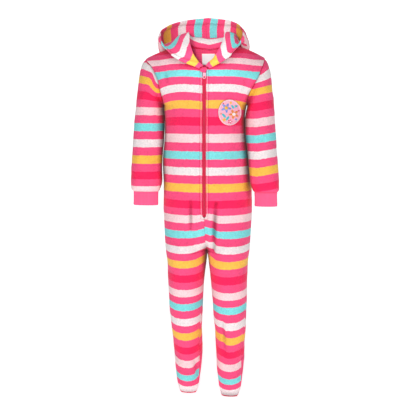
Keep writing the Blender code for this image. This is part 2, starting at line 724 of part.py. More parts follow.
def laid_on(trees, across, upright, way, lift, slot=0.0006):
    """Points above the first surface met from the front (1) or from inside (-1), with their normals.
    Over the slot between the two halves they lie as beside it."""
    points, normals = np.zeros((*across.shape, 3)), np.zeros((*across.shape, 3))
    for i in np.ndindex(across.shape):
        beside = math.copysign(max(abs(across[i]), slot), across[i])
        start = Vector((beside, -0.5 if way > 0 else 0.0, upright[i]))
        hits = [tree.ray_cast(start, Vector((0, 1, 0))) for tree in trees]
        where, normal, _, _ = min((hit for hit in hits if hit[0]), key=lambda hit: hit[3])
        points[i] = where + normal * lift
        points[i][0] += across[i] - beside
        normals[i] = normal
    return points, normals


def laid_pieces():
    """The patch on the chest, the guard over the zip's top, and the facing and label inside the back neck."""
    trees = {}
    for name in ("front_left", "front_right", "back_left", "back_right"):
        mesh = bpy.data.objects[name].data
        trees[name] = BVHTree.FromPolygons([v.co for v in mesh.vertices], [p.vertices for p in mesh.polygons])
    x, z = squared_disc(*PATCH_SIZE, 9, 1.0)
    x, z = x + PATCH_PLACE[0], z + PATCH_PLACE[1]
    points, normals = laid_on([trees["front_left"]], x, z, 1, SEAM_GAP * 5 + PATCH / 2)
    spread(wall(points, normals, None, False, "", PATCH / 2, PATCH / 2), "chest_patch", ("f7d5df", 0.8))

    x, z = squared_disc(*GUARD_SIZE, 5, 0.5)
    fronts = [trees["front_left"], trees["front_right"]]
    x, z = x + GUARD_PLACE[0], z + GUARD_PLACE[1]
    points, normals = laid_on(fronts, x, z, 1, SEAM_GAP * 2 + GUARD / 2, ZIP_SLOT / 2 + 0.0005)
    spread(wall(points, normals, None, False, "", GUARD / 2, GUARD / 2), "chin_guard", ("ff5285",))

    backs = [trees["back_left"], trees["back_right"]]
    sweep = np.linspace(-1, 1, 13)
    top = read(NECK, "height", 1 - np.abs(sweep) * 0.19) - 0.004
    depth = 0.010 + (FACING_DEPTH - 0.010) * np.sqrt(1 - (sweep * 0.97) ** 2)
    fall = np.linspace(0, 1, 6)[:, None]
    across = np.tile(sweep * 0.042, (6, 1))
    points, normals = laid_on(backs, across, top - fall * depth, -1, 2 * SEAM_GAP + FACING / 2)
    spread(wall(points, normals, None, False, "", FACING / 2, FACING / 2), "neck_facing", ("e02956",))

    x, z = squared_disc(*LABEL_SIZE, 5, 0.0)
    lift = 5 * SEAM_GAP + FACING + LABEL / 2
    points, normals = laid_on(backs, x, z + LABEL_HEIGHT, -1, lift)
    spread(wall(points, normals, None, False, "", LABEL / 2, LABEL / 2), "neck_label", ("f3eef0", 0.7))


for old in list(bpy.data.objects):
    bpy.data.objects.remove(old, do_unlink=True)
garment = bpy.data.collections.new("sleepsuit")
bpy.context.scene.collection.children.link(garment)
tools = bpy.data.collections.new("tools")
bpy.context.scene.collection.children.link(tools)
sew_cloth()
laid_pieces()
zip_tape()
zip_slider()
zip_pull()
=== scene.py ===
import math

import bmesh
import bpy
import numpy as np
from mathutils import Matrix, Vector, noise
from mathutils.bvhtree import BVHTree


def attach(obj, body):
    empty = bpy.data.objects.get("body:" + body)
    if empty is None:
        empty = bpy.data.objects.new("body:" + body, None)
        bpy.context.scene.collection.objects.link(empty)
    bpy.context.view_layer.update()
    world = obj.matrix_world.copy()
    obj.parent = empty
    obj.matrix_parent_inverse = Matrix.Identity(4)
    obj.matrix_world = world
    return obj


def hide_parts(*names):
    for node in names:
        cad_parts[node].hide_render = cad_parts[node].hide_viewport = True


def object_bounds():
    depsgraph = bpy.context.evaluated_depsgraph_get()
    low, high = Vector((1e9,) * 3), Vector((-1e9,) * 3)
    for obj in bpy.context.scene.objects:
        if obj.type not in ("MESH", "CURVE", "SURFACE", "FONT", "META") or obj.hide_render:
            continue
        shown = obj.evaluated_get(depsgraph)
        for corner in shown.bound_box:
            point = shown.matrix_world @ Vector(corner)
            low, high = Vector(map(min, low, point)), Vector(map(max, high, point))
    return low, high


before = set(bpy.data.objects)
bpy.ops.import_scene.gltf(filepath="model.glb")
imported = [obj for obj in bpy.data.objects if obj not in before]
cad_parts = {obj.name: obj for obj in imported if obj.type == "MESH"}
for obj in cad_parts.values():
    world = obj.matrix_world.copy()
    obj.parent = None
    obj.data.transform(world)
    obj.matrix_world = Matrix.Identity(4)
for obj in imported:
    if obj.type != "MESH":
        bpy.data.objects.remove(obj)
cad_box = [list(corner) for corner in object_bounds()]

# Camera: a long lens at chest height, a little to the wearer's left, tilted down so that the feet show.
# It stands 2.4 m away, which is where the photograph's foreshortening of the legs puts it.
stand_off, azimuth, camera_height = 2.4, math.radians(5.5), -0.181
lens_px, frame_px, horizon_px = 795.0, 416, 98


def placed(name, data):
    """A new object in the scene."""
    made = bpy.data.objects.new(name, data)
    bpy.context.scene.collection.objects.link(made)
    return made


camera = placed("camera", bpy.data.cameras.new("camera"))
bpy.context.scene.camera = camera
camera.location = (math.sin(azimuth) * stand_off, -math.cos(azimuth) * stand_off, camera_height)
camera.rotation_euler = (math.pi / 2 - math.atan(horizon_px / lens_px), 0, azimuth)
camera.data.sensor_width = 36
camera.data.lens = 36 * lens_px / frame_px
camera.data.shift_x = 0.5 / frame_px

# Fronts: two long panels of striped coral fleece, each cut in one from the shoulder to the toe.
# The knitted ground carries a short brushed pile, so that stripes blur where they meet and seams sink in.
CLOTH, DEEPEST_FOLD = 0.0025, 0.008
SIDES = {"left": 1, "right": -1}
ROUNDNESS = 0.92  # below 1, the cross-sections are a little squarer than ellipses
ZIP_SLOT, ZIP_TOP, ZIP_END = 0.0110, -0.060, -0.490
UNDERARM, HIP, CROTCH, HEEL, TOE = -0.166, -0.490, -0.600, -0.945, -1.0815
LEG_DROP = 0.004  # the wearer's left leg hangs this much lower and the right one higher
NECK_SHOULDER = 0.61  # where the shoulder seam meets the neckline
MIDDLE_PART = {"front": 5 / 12, "back": 7 / 12}  # share of the rows above the armpit that end at the middle
# Level sections of the trunk: half their width, and how far back their front, side and back lie
TRUNK = {"height half_width front side back": [
    (-0.166, 0.1225, -0.0990, 0.004, 0.088),
    (-0.173, 0.1216, -0.0995, 0.004, 0.088),
    (-0.183, 0.1207, -0.1000, 0.004, 0.088),
    (-0.200, 0.1193, -0.1010, 0.003, 0.088),
    (-0.250, 0.1203, -0.1030, 0.003, 0.085),
    (-0.302, 0.1258, -0.1040, 0.004, 0.086),
    (-0.344, 0.1298, -0.1040, 0.005, 0.090),
    (-0.392, 0.1316, -0.1030, 0.006, 0.096),
    (-0.468, 0.1335, -0.1000, 0.008, 0.104),
    (-0.510, 0.1325, -0.0970, 0.008, 0.105),
    (-0.600, 0.1270, -0.0900, 0.008, 0.098),
]}
# Sections of a leg: their middle, half their width and depth, how far the front dips, and their turn
LEG = {"height across depth half_width half_depth dip turn": [
    (-0.490, 0.0665, 0.004, 0.0665, 0.1010, 0.000, 0),
    (-0.600, 0.0640, 0.004, 0.0635, 0.0910, 0.004, 0),
    (-0.634, 0.0640, 0.004, 0.0595, 0.0840, 0.006, 0),
    (-0.679, 0.0655, 0.004, 0.0560, 0.0760, 0.008, 0),
    (-0.724, 0.0670, 0.007, 0.0530, 0.0690, 0.009, 2),
    (-0.762, 0.0680, 0.012, 0.0515, 0.0640, 0.011, 7),
    (-0.810, 0.0685, 0.021, 0.0495, 0.0590, 0.014, 18),
    (-0.860, 0.0685, 0.035, 0.0465, 0.0550, 0.017, 28),
    (-0.905, 0.0672, 0.049, 0.0445, 0.0540, 0.018, 30),
    (-0.945, 0.0670, 0.061, 0.0435, 0.0560, 0.018, 30),
    (-0.989, 0.0668, 0.063, 0.0410, 0.0500, 0.017, 26),
    (-1.019, 0.0668, 0.060, 0.0375, 0.0390, 0.014, 20),
    (-1.045, 0.0666, 0.055, 0.0342, 0.0260, 0.010, 12),
    (-1.065, 0.0664, 0.051, 0.0300, 0.0150, 0.006, 4),
    (-1.077, 0.0662, 0.049, 0.0250, 0.0070, 0.003, 0),
    (-1.0815, 0.0662, 0.048, 0.0190, 0.0000, 0.000, 0),
]}
# The armhole from the armpit (0) to the shoulder's tip (1), with its bow to the front and to the back
ARMHOLE = {"along across depth height front back": [
    (0.00, 0.1225, 0.004, -0.166, 0.044, 0.042),
    (0.20, 0.1255, 0.004, -0.146, 0.046, 0.044),
    (0.40, 0.1350, 0.003, -0.117, 0.050, 0.048),
    (0.60, 0.1480, 0.003, -0.087, 0.049, 0.048),
    (0.80, 0.1625, 0.002, -0.056, 0.043, 0.043),
    (1.00, 0.1780, 0.002, -0.032, 0.040, 0.040),
]}
# The neckline from the zip's top (0) to the middle of the back (1)
NECK = {"along across depth height": [
    (0.00, 0.0055, -0.0900, -0.0600),
    (0.08, 0.0230, -0.0860, -0.0540),
    (0.17, 0.0370, -0.0760, -0.0430),
    (0.39, 0.0550, -0.0400, -0.0080),
    (0.61, 0.0600, 0.0040, 0.0200),
    (0.79, 0.0430, 0.0420, 0.0090),
    (1.00, 0.0000, 0.0620, 0.0020),
]}
# The jumpsuit hangs a little unevenly: how far to the wearer's left its sides and armholes lie
SWAY = {"height shift": [
    (-0.420, 0.0), (-0.392, -0.0012), (-0.344, -0.0044), (-0.302, -0.0054), (-0.250, -0.0073),
    (-0.200, -0.0082), (-0.166, -0.0060),
]}
ARM_SWAY = {"along shift": [(0.0, -0.006), (0.3, -0.004), (0.6, 0.003), (0.8, 0.001), (1.0, -0.008)]}
# Stripes of a front, counted in bands from the light pink one at the shoulder, against height
FRONT_STRIPES = {"height band": [
    (0.020, -3.6), (-0.010, -1.4), (-0.040, 0.5), (-0.075, 2.5), (-0.118, 4.5),
    (-0.164, 6.5), (-0.2126, 8.5), (-0.262, 10.5), (-0.311, 12.5), (-0.3576, 14.5),
    (-0.406, 16.5), (-0.455, 18.5), (-0.499, 20.5), (-0.545, 22.5), (-0.589, 24.5),
    (-0.632, 26.5), (-0.677, 28.5), (-0.7246, 30.5), (-0.768, 32.5), (-0.816, 34.5),
    (-0.8625, 36.5), (-0.912, 38.5), (-0.958, 40.5), (-1.010, 42.5), (-1.044, 44.0),
    (-1.077, 45.2),
]}


def through(x, y, at):
    """A smooth curve through points, which keeps their rises and falls."""
    step = np.diff(x)
    slope = np.diff(y) / step
    before, after = slope[:-1], slope[1:]
    same = before * after > 0
    outer, inner = step[:-1] + 2 * step[1:], 2 * step[:-1] + step[1:]
    mean = outer / np.where(same, before, 1) + inner / np.where(same, after, 1)
    bend = np.where(same, (outer + inner) / np.where(same, mean, 1), 0)
    tangent = np.concatenate([slope[:1], bend, slope[-1:]])
    at = np.clip(np.asarray(at, float), x[0], x[-1])
    i = np.clip(np.searchsorted(x, at, side="right") - 1, 0, len(step) - 1)
    t = (at - x[i]) / step[i]
    return (
        y[i] * (1 + 2 * t) * (1 - t) ** 2
        + y[i + 1] * t * t * (3 - 2 * t)
        + step[i] * tangent[i] * t * (1 - t) ** 2
        + step[i] * tangent[i + 1] * t * t * (t - 1)
    )


def read(table, name, at):
    """The named column of a table at places along its first one."""
    (names, rows), = table.items()
    rows = np.array(sorted(rows), float)
    return through(rows[:, 0], rows[:, names.split().index(name)], at)


def smooth(x, low, high):
    """0 before low and 1 after high, with an even rise between them."""
    t = np.clip((np.asarray(x, float) - low) / (high - low), 0, 1)
    return t * t * (3 - 2 * t)


def neckline(along):
    """Points of the neckline, from the zip's top (0) to the middle of the back (1)."""
    return np.stack([read(NECK, name, along) for name in ("across", "depth", "height")], axis=-1)


def leaning(turn, side):
    """How far outwards of its even place an armhole lies, from the armpit (0) to the shoulder (pi)."""
    return side * read(ARM_SWAY, "shift", (1 - np.cos(turn)) / 2)


def armhole(turn, face, side):
    """Points of the armhole, turned from the armpit (0) to the shoulder's tip (pi)."""
    along = (1 - np.cos(turn)) / 2
    bow = read(ARMHOLE, face, along) * np.sin(turn) * (-1 if face == "front" else 1)
    across = read(ARMHOLE, "across", along) + leaning(turn, side)
    return np.stack([across, read(ARMHOLE, "depth", along) + bow, read(ARMHOLE, "height", along)], axis=-1)


def columns_of(face):
    """Places of a panel's columns, closer together beside the zip and the side seam."""
    beside = np.linspace(0, 0.085, 13 if face == "front" else 6)
    return np.concatenate([beside[:-1], np.linspace(0.085, 0.975, 50), [0.985, 0.993, 1.0]])


def upper_row(part, face, side):
    """One row between the armpit (0) and the shoulder seam (1)."""
    outer = armhole(math.pi * part, face, side)
    middle_part = MIDDLE_PART[face]
    if part <= middle_part:
        rise = part / middle_part
        corner = neckline(0.0 if face == "front" else 1.0)
        base = read(TRUNK, face, UNDERARM)
        inner = np.array([corner[0], 0, UNDERARM + (corner[2] - UNDERARM) * rise])
        inner[1] = base + (corner[1] - base) * rise**2
    else:
        share = (part - middle_part) / (1 - middle_part)
        inner = neckline(NECK_SHOULDER * share if face == "front" else 1 - (1 - NECK_SHOULDER) * share)
    turn = columns_of(face) * math.pi / 2
    across, away = np.sin(turn) ** ROUNDNESS, 1 - np.cos(turn) ** ROUNDNESS
    points = np.stack([across, away, across], axis=-1) * (outer - inner) + inner
    points[:, 2] += 0.004 * np.sin(turn * 2) * part
    return points, points[:, 2]


def parting(height, turn):
    """How far a row has turned from half of the trunk (0) to a whole leg (1)."""
    fall = np.clip((HIP - height) / (HIP - CROTCH), 0, 1)
    seam = 1 - math.sqrt(1 - fall**2)
    out = smooth(turn, 0, 0.6)
    return seam * (1 - out) + fall * fall * (3 - 2 * fall) * out


def lower_row(height, face, side):
    """One row below the armpit, from the middle or the inner leg outwards, and its height in the cut."""
    turn = columns_of(face)
    sign = -1 if face == "front" else 1
    quarter = turn * math.pi / 2
    middle, edge = read(TRUNK, face, height), read(TRUNK, "side", height)
    slot = ZIP_SLOT / 2 * (face == "front") * smooth(height, ZIP_END - 0.005, ZIP_END + 0.001)
    width = read(TRUNK, "half_width", height) + side * read(SWAY, "shift", height) - slot
    trunk_x = slot + width * np.sin(quarter) ** ROUNDNESS
    trunk_y = edge + (middle - edge) * np.cos(quarter) ** ROUNDNESS
    angle = turn * math.pi + math.radians(read(LEG, "turn", height)) * side * sign
    leg_x = read(LEG, "across", height) - read(LEG, "half_width", height) * np.cos(angle)
    leg_y = read(LEG, "depth", height) + sign * read(LEG, "half_depth", height) * np.sin(angle)
    part = parting(height, turn)
    x = trunk_x * (1 - part) + leg_x * part
    y = trunk_y * (1 - part) + leg_y * part
    if CROTCH <= height < ZIP_END - 0.005:
        x = x - x.min() * (1 - turn)
    forward = (y - read(LEG, "depth", height)) / max(read(LEG, "half_depth", height), 1e-3)
    dip = read(LEG, "dip", height) * forward * (height < HIP)
    drop = LEG_DROP * side * smooth(CROTCH - height, 0, 0.15)
    return np.stack([x, y, height - drop + dip], axis=-1), np.full_like(x, height)


FOOT_HEIGHTS = HEEL + (TOE - HEEL) * np.sin(np.linspace(0, math.pi / 2, 44))


def panel_rows(face, side, last):
    """A panel's grid from the shoulder seam down to a height, and the height of its points in the cut."""
    seat = HIP + (CROTCH - HIP) * np.sin(np.linspace(0, math.pi / 2, 40))
    trunk = np.linspace(UNDERARM, ZIP_END, 92)
    leg = np.linspace(CROTCH, HEEL, 98)
    heights = np.concatenate([trunk[1:-1], seat, leg[1:], FOOT_HEIGHTS[1:]])
    heights = heights[heights >= last - 1e-6]
    rows = [upper_row(part, face, side) for part in np.linspace(1, 0, 56)]
    rows += [lower_row(height, face, side) for height in heights]
    points, cut = (np.array(part) for part in zip(*rows))
    return points * np.array([side, 1, 1]), cut


def sheet_normals(points, closed, way):
    """Normals of a grid's points."""
    if closed:
        down = np.gradient(points, axis=0)
        across = np.roll(points, -1, axis=1) - np.roll(points, 1, axis=1)
    else:
        down, across = np.gradient(points, axis=0), np.gradient(points, axis=1)
    normal = np.cross(across, down) * way
    return normal / np.maximum(np.linalg.norm(normal, axis=-1, keepdims=True), 1e-12)


def from_edge(points, axis, end):
    """How far each point lies along the cloth from one edge of its grid."""
    step = np.linalg.norm(np.diff(points, axis=axis), axis=-1)
    pad = [(0, 0), (0, 0)]
    pad[axis] = (1, 0)
    run = np.pad(np.cumsum(step, axis=axis), pad)
    return run if end == 0 else np.take(run, [-1], axis=axis) - run


def sunk_seams(points, normals, seams, depth=0.0016, width=0.0022):
    """The grid with its sewn edges drawn inwards, as the stitches of a seam pull them."""
    pull = np.zeros(points.shape[:2])
    for edge, axis, end in (("T", 0, 0), ("B", 0, 1), ("L", 1, 0), ("R", 1, 1)):
        if edge in seams:
            pull = np.maximum(pull, np.exp(-((from_edge(points, axis, end) / width) ** 2)))
    return points - normals * (depth * pull)[..., None]


def softened(points, normals, amount=0.0011, size=0.055):
    """The grid with the slow unevenness of soft cloth that nothing holds flat."""
    lift = np.empty(points.shape[:2])
    for i in np.ndindex(lift.shape):
        place = Vector(points[i]) / size
        lift[i] = noise.noise(place) + 0.45 * noise.noise(place * 2.6)
    return points + normals * (lift * amount)[..., None]


def creased(points, normals, folds):
    """The grid with folds pressed in or raised along short lines, and how far each point lies in a fold, for
    the painted shade in creases.
    """
    lift = np.zeros(points.shape[:2])
    flat = points[..., [0, 2]]
    for x, z, x2, z2, depth, width in folds:
        start, line = np.array([x, z]), np.array([x2 - x, z2 - z])
        along = np.clip(((flat - start) @ line) / (line @ line), 0, 1)
        away = np.linalg.norm(flat - start - along[..., None] * line, axis=-1)
        lift += depth * np.exp(-((away / width) ** 2)) * np.sin(np.pi * np.clip(along, 0.12, 0.88)) ** 0.5
    return points + normals * lift[..., None], np.clip(-lift / DEEPEST_FOLD, 0, 1)


def surface(name, corners, faces, finish):
    """A smooth surface of one material, as an object."""
    mesh = bpy.data.meshes.new(name)
    mesh.from_pydata(corners, [], faces)
    mesh.shade_smooth()
    mesh.materials.append(finish)
    return placed(name, mesh)


def marked(made, name, values):
    """Stores a value for each point of a piece, which its material reads by name."""
    layer = made.data.attributes.new(name, "FLOAT", "POINT")
    layer.data.foreach_set("value", np.ravel(values).astype(np.float32))


def cloth(name, points, bands, finish, closed=False, thick=CLOTH, flip=False):
    """A sheet of cloth on a grid of points, with its place in the stripes, of each point or of them all."""
    rows, columns = points.shape[:2]
    spans = columns if closed else columns - 1
    i, j = (a.ravel() for a in np.mgrid[0 : rows - 1, 0:spans])
    k = (j + 1) % columns
    here, below = i * columns, (i + 1) * columns
    faces = np.stack([here + j, here + k, below + k, below + j], axis=1)
    made = surface(name, points.reshape(-1, 3), (faces[:, ::-1] if flip else faces).tolist(), finish)
    marked(made, "band", np.broadcast_to(bands, (rows, columns)))
    wall = made.modifiers.new("thickness", "SOLIDIFY")
    wall.thickness = thick
    wall.offset = 0
    return made


def colour(code):
    """sRGB hex as linear colour."""
    parts = [int(code[i : i + 2], 16) / 255 for i in (0, 2, 4)]
    return (*[c / 12.92 if c <= 0.04045 else ((c + 0.055) / 1.055) ** 2.4 for c in parts], 1)


def node(tree, kind, settings=None, **links):
    """A node with its settings, and a value or another node's output for each of its inputs, by number."""
    made = tree.nodes.new(kind)
    for name, value in (settings or {}).items():
        setattr(made, name, value)
    for place, value in links.items():
        place = place[1:].replace("_", " ")
        socket = made.inputs[int(place) if place.isdigit() else place]
        if isinstance(value, bpy.types.NodeSocket):
            tree.links.new(value, socket)
        else:
            socket.default_value = value
    return made


def material(name, roughness, sheen=0.0, specular=0.5):
    """A new material, its node tree and its shader."""
    made = bpy.data.materials.new(name)
    made.use_nodes = True
    shader = made.node_tree.nodes["Principled BSDF"]
    shader.inputs["Roughness"].default_value = roughness
    shader.inputs["Sheen Weight"].default_value = sheen
    shader.inputs["Sheen Roughness"].default_value = 0.45
    shader.inputs["Specular IOR Level"].default_value = specular
    return made, made.node_tree, shader


def ranged(tree, value, low, high, least, most):
    """A value that runs from low to high, brought to run from least to most."""
    return node(tree, "ShaderNodeMapRange", _0=value, _1=low, _2=high, _3=least, _4=most).outputs[0]


def worked(tree, operation, *values):
    """What a sum, product or other operation makes of its values."""
    inputs = {f"_{count}": value for count, value in enumerate(values)}
    return node(tree, "ShaderNodeMath", {"operation": operation}, **inputs).outputs[0]


def shaded(tree, hue, share):
    """A colour made darker or lighter."""
    return node(tree, "ShaderNodeVectorMath", {"operation": "SCALE"}, _0=hue, _Scale=share).outputs[0]


def speckled(tree, place, size, detail=1.0, roughness=0.5):
    """Noise with grains of a size in metres."""
    grains = {"_Vector": place, "_Scale": 1 / size, "_Detail": detail, "_Roughness": roughness}
    return node(tree, "ShaderNodeTexNoise", **grains).outputs["Fac"]


def finished(tree, shader, hue, relief=None, strength=0.4, height=0.0004):
    """Gives a shader its colour, and a relief of a height in metres."""
    tree.links.new(hue, shader.inputs["Base Color"])
    if relief is not None:
        bump = node(tree, "ShaderNodeBump", _Strength=strength, _Distance=height, _Height=relief)
        tree.links.new(bump.outputs[0], shader.inputs["Normal"])


# Coral fleece: polyester pile 2 mm long. Its tips stand apart in tufts 3 to 4 mm wide, which gives a matte
# mottled face, a pale bloom at grazing angles and ragged edges between the stripes. Shade is painted into
# the colour between the tufts, in the fronts' folds and in hollows and gaps between parts.
PINK = "ff5285"
STRIPE_COLOURS = ["fcd7db", PINK, "81e1e3", PINK, "f3e8e9", PINK, "fec453", PINK, "ff275f", PINK]
TUFT = 0.0035
fleece, tree, shader = material("coral_fleece", 0.95, sheen=0.12, specular=0.15)
place = node(tree, "ShaderNodeTexCoord").outputs["Object"]
band = node(tree, "ShaderNodeAttribute", {"attribute_name": "band"}).outputs["Fac"]
jitter = worked(tree, "MULTIPLY_ADD", speckled(tree, place, 0.0022), 0.16, -0.08)
drift = worked(tree, "MULTIPLY_ADD", speckled(tree, place, 0.012), 0.10, -0.05)
moved = worked(tree, "ADD", worked(tree, "ADD", band, jitter), drift)
share = worked(tree, "FRACT", worked(tree, "DIVIDE", moved, float(len(STRIPE_COLOURS))))
stripes = node(tree, "ShaderNodeValToRGB", _0=share)
ramp = stripes.color_ramp
ramp.interpolation = "CONSTANT"
for count, code in enumerate(STRIPE_COLOURS):
    stop = ramp.elements[0] if count == 0 else ramp.elements.new(count / len(STRIPE_COLOURS))
    stop.color = colour(code)
ramp.elements.remove(ramp.elements[-1])
# painted shade between the tufts: the colour runs from 0.80 in the low parts of the tuft relief to 1.08 on
# the tips
tufts = speckled(tree, place, TUFT, 3.0, 0.6)
depth = ranged(tree, tufts, 0.3, 0.7, 0.80, 1.08)
cloud = ranged(tree, speckled(tree, place, 0.03, 2.0), 0.3, 0.7, 0.96, 1.03)
# painted shade in creases: the colour is darkened to 0.42 where the fronts' folds are deepest
fold = node(tree, "ShaderNodeAttribute", {"attribute_name": "fold"}).outputs["Fac"]
crease_shade = ranged(tree, fold, 0.10, 1.0, 1.0, 0.42)
shade = worked(tree, "MULTIPLY", worked(tree, "MULTIPLY", depth, cloud), crease_shade)
mix = shaded(tree, stripes.outputs["Color"], shade)
# painted shade in hollows and gaps between parts: ambient occlusion within 26 mm darkens the colour to a
# quarter and deepens it
hollows = node(tree, "ShaderNodeAmbientOcclusion", {"samples": 6}, _Distance=0.026).outputs["AO"]
power = ranged(tree, hollows, 0.1, 0.93, 1.7, 1.0)
hollow_shade_dim = ranged(tree, hollows, 0.0, 0.93, 0.25, 1.0)
power.node.name, hollow_shade_dim.node.name = "hollow shade gamma", "hollow shade"
hollow_shade_deepened = node(tree, "ShaderNodeGamma", _Color=mix, _Gamma=power).outputs[0]
finished(tree, shader, shaded(tree, hollow_shade_deepened, hollow_shade_dim), tufts, 0.7, 0.0014)

# Folds of the fronts, where the cloth hangs loose beside the arms, at the hips, the knees and the ankles:
# both ends across and up, the depth and the width
FOLDS = [
    (0.035, -0.450, 0.024, -0.590, -0.0080, 0.0070),
    (0.016, -0.500, 0.014, -0.600, 0.0035, 0.008),
    (-0.040, -0.445, -0.043, -0.530, -0.0062, 0.0064),
    (-0.018, -0.500, -0.014, -0.600, 0.0020, 0.009),
    (-0.116, -0.075, -0.110, -0.100, -0.0040, 0.008),
    (0.116, -0.090, 0.112, -0.120, -0.0025, 0.008),
    (0.049, -0.815, 0.056, -0.935, -0.0040, 0.007),
    (-0.043, -0.960, -0.036, -1.010, -0.0035, 0.007),
    (-0.020, -0.600, -0.075, -0.640, -0.0015, 0.012),
    (0.020, -0.600, 0.080, -0.650, -0.0015, 0.012),
]


def arched(points, cut, side):
    """Where a front's points lie in the cut: over the chest its stripes sink towards the arm, and on the
    wearer's right a little towards the zip."""
    x = np.abs(points[..., 0])
    falls = [(-0.26, 0.0), (-0.21, 0.003), (-0.165, 0.008), (-0.12, 0.008), (-0.075, 0.003), (-0.03, 0.003)]
    outwards = np.clip((x - 0.070) / 0.052, 0, 1.3) ** 2
    inwards = np.clip((0.070 - x) / 0.065, 0, 1) ** 2
    zip_side = 0.0045 * (side < 0) * smooth(cut, -0.27, -0.13)
    return cut + outwards * read({"height arm": falls}, "arm", cut) + inwards * zip_side


def stepped(points, cut, side):
    """The stripes' shift across the creases that run down the lower legs."""
    x, z = points[..., 0], points[..., 2]
    middle = smooth(z, -0.70, -0.62) * (1 - smooth(z, -0.52, -0.46))
    cut = cut - 0.009 * np.exp(-((x / 0.026) ** 2)) * middle
    if side > 0:
        hip = smooth(z, -0.66, -0.58) * (1 - smooth(z, -0.50, -0.45))
        cut = cut - 0.006 * (1 - smooth(x, 0.020, 0.034)) * hip
        knee = smooth(z, -0.985, -0.90) * (1 - smooth(z, -0.86, -0.79))
        return cut + 0.0075 * (smooth(x, 0.046, 0.060) - 0.5) * knee
    ankle = smooth(z, -1.04, -1.0) * (1 - smooth(z, -0.975, -0.94))
    return cut - 0.009 * smooth(x, -0.046, -0.036) * ankle


def stitched_flat(points, normals):
    """The grid pressed in along the topstitching beside the zip and round the box at its lower end."""
    x, z = np.abs(points[..., 0]), points[..., 2]
    beside = np.exp(-(((x - TOPSTITCH) / 0.0013) ** 2)) * smooth(z, ZIP_END - 0.002, ZIP_END + 0.004)
    edge = np.maximum(np.abs(x) - BOX[0], np.abs(z - BOX_HEIGHT) - BOX[1])
    boxed = np.exp(-((edge / 0.0012) ** 2))
    turned = np.exp(-(((x - ZIP_SLOT / 2 - 0.0035) / 0.0022) ** 2)) * smooth(z, ZIP_END, ZIP_END + 0.01)
    pucker = 0.0004 * np.sin(z / 0.0042) * np.exp(-(((x - 0.010) / 0.008) ** 2)) * (z > ZIP_END)
    return points + normals * (0.0006 * turned + pucker - 0.0011 * beside - 0.0009 * boxed)[..., None]


TOPSTITCH, EDGE_STITCH = 0.0125, 0.0087
BOX, BOX_HEIGHT = (0.0105, 0.0095), -0.4885
fleece_pieces = {}
for word, side in SIDES.items():
    points, cut = panel_rows("front", side, TOE)
    normals = sheet_normals(points, False, -side)
    cut = stepped(points, arched(points, cut, side), side)
    bands = read(FRONT_STRIPES, "band", cut)
    points, folds = creased(softened(sunk_seams(points, normals, "TR"), normals), normals, FOLDS)
    points = stitched_flat(points, normals)
    made = cloth(f"front_{word}_fleece", points, bands, fleece, flip=side > 0)
    # the depth in a fold, which the fleece's colour darkens as painted shade
    marked(made, "fold", folds)
    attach(made, "garment")
    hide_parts(f"front_{word}")
    fleece_pieces[f"front_{word}"] = made

# Backs and soles: the backs are cut of the same fleece from the neck to the heel, and the soles under
# them of plain pink fleece. Side seams were sewn with the backs' stripes some 9 mm lower.
BACK_SHIFT = 0.0095
EVEN_ABOVE, EVEN_PITCH = -0.164, 0.02375  # above this height the back's stripes are all of one width
for word, side in SIDES.items():
    points, cut = panel_rows("back", side, HEEL)
    normals = sheet_normals(points, False, side)
    place_in_cut = cut + BACK_SHIFT
    level = read(FRONT_STRIPES, "band", EVEN_ABOVE) + (EVEN_ABOVE - place_in_cut) / EVEN_PITCH
    bands = np.where(place_in_cut > EVEN_ABOVE, level, read(FRONT_STRIPES, "band", place_in_cut))
    points = softened(sunk_seams(points, normals, "TRLB"), normals)
    made = cloth(f"back_{word}_fleece", points, bands, fleece, flip=side < 0)
    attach(made, "garment")
    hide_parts(f"back_{word}")
    fleece_pieces[f"back_{word}"] = made

    rows = [lower_row(height, "back", side)[0] for height in FOOT_HEIGHTS]
    points = np.array(rows) * np.array([side, 1, 1])
    normals = sheet_normals(points, False, side)
    points = softened(sunk_seams(points, normals, "TRL"), normals)
    made = cloth(f"sole_{word}_fleece", points, 1.5, fleece, flip=side < 0)
    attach(made, "garment")
    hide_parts(f"sole_{word}")
    fleece_pieces[f"sole_{word}"] = made

# Sleeves: each is one piece of striped fleece, sewn into the armhole and closed by a seam below the arm.
# Near the shoulder its stripes tilt with the cap, and lower down they run level.
# Twelve rings: the edge towards the trunk, the outer edge, the middle's depth and half the thickness
SLEEVE = {"ring inner inner_height outer outer_height depth half_depth": [
    (0, 0.1225, -0.1660, 0.1780, -0.0320, 0.003, 0.046),
    (1, 0.1262, -0.1690, 0.1865, -0.0450, 0.002, 0.047),
    (2, 0.1258, -0.1750, 0.1940, -0.0700, 0.001, 0.049),
    (3, 0.1240, -0.1860, 0.1990, -0.1060, -0.001, 0.050),
    (4, 0.1224, -0.2030, 0.2040, -0.1500, -0.005, 0.050),
    (5, 0.1221, -0.2300, 0.2085, -0.2020, -0.011, 0.049),
    (6, 0.1236, -0.2650, 0.2120, -0.2520, -0.018, 0.048),
    (7, 0.1282, -0.3080, 0.2155, -0.3020, -0.025, 0.046),
    (8, 0.1310, -0.3520, 0.2190, -0.3500, -0.032, 0.043),
    (9, 0.1325, -0.3900, 0.2210, -0.3900, -0.037, 0.038),
    (10, 0.1385, -0.4130, 0.2205, -0.4130, -0.040, 0.029),
    (11, 0.1440, -0.4230, 0.2150, -0.4230, -0.041, 0.018),
]}
OUTER_LEAN = -0.008  # both outer edges swing this far to the wearer's right
CUFF_EVENS = 0.5  # the share of that lean which is lost towards the cuffs
SLEEVE_TURN = np.linspace(0, 2 * math.pi, 97)[:-1]
SLEEVE_STRIPES = {"height band": [
    (0.000, 2.0), (-0.051, 4.5), (-0.090, 6.5), (-0.137, 8.5), (-0.184, 10.5),
    (-0.231, 12.5), (-0.2785, 14.5), (-0.326, 16.5), (-0.373, 18.5), (-0.416, 20.5),
    (-0.430, 21.1),
]}


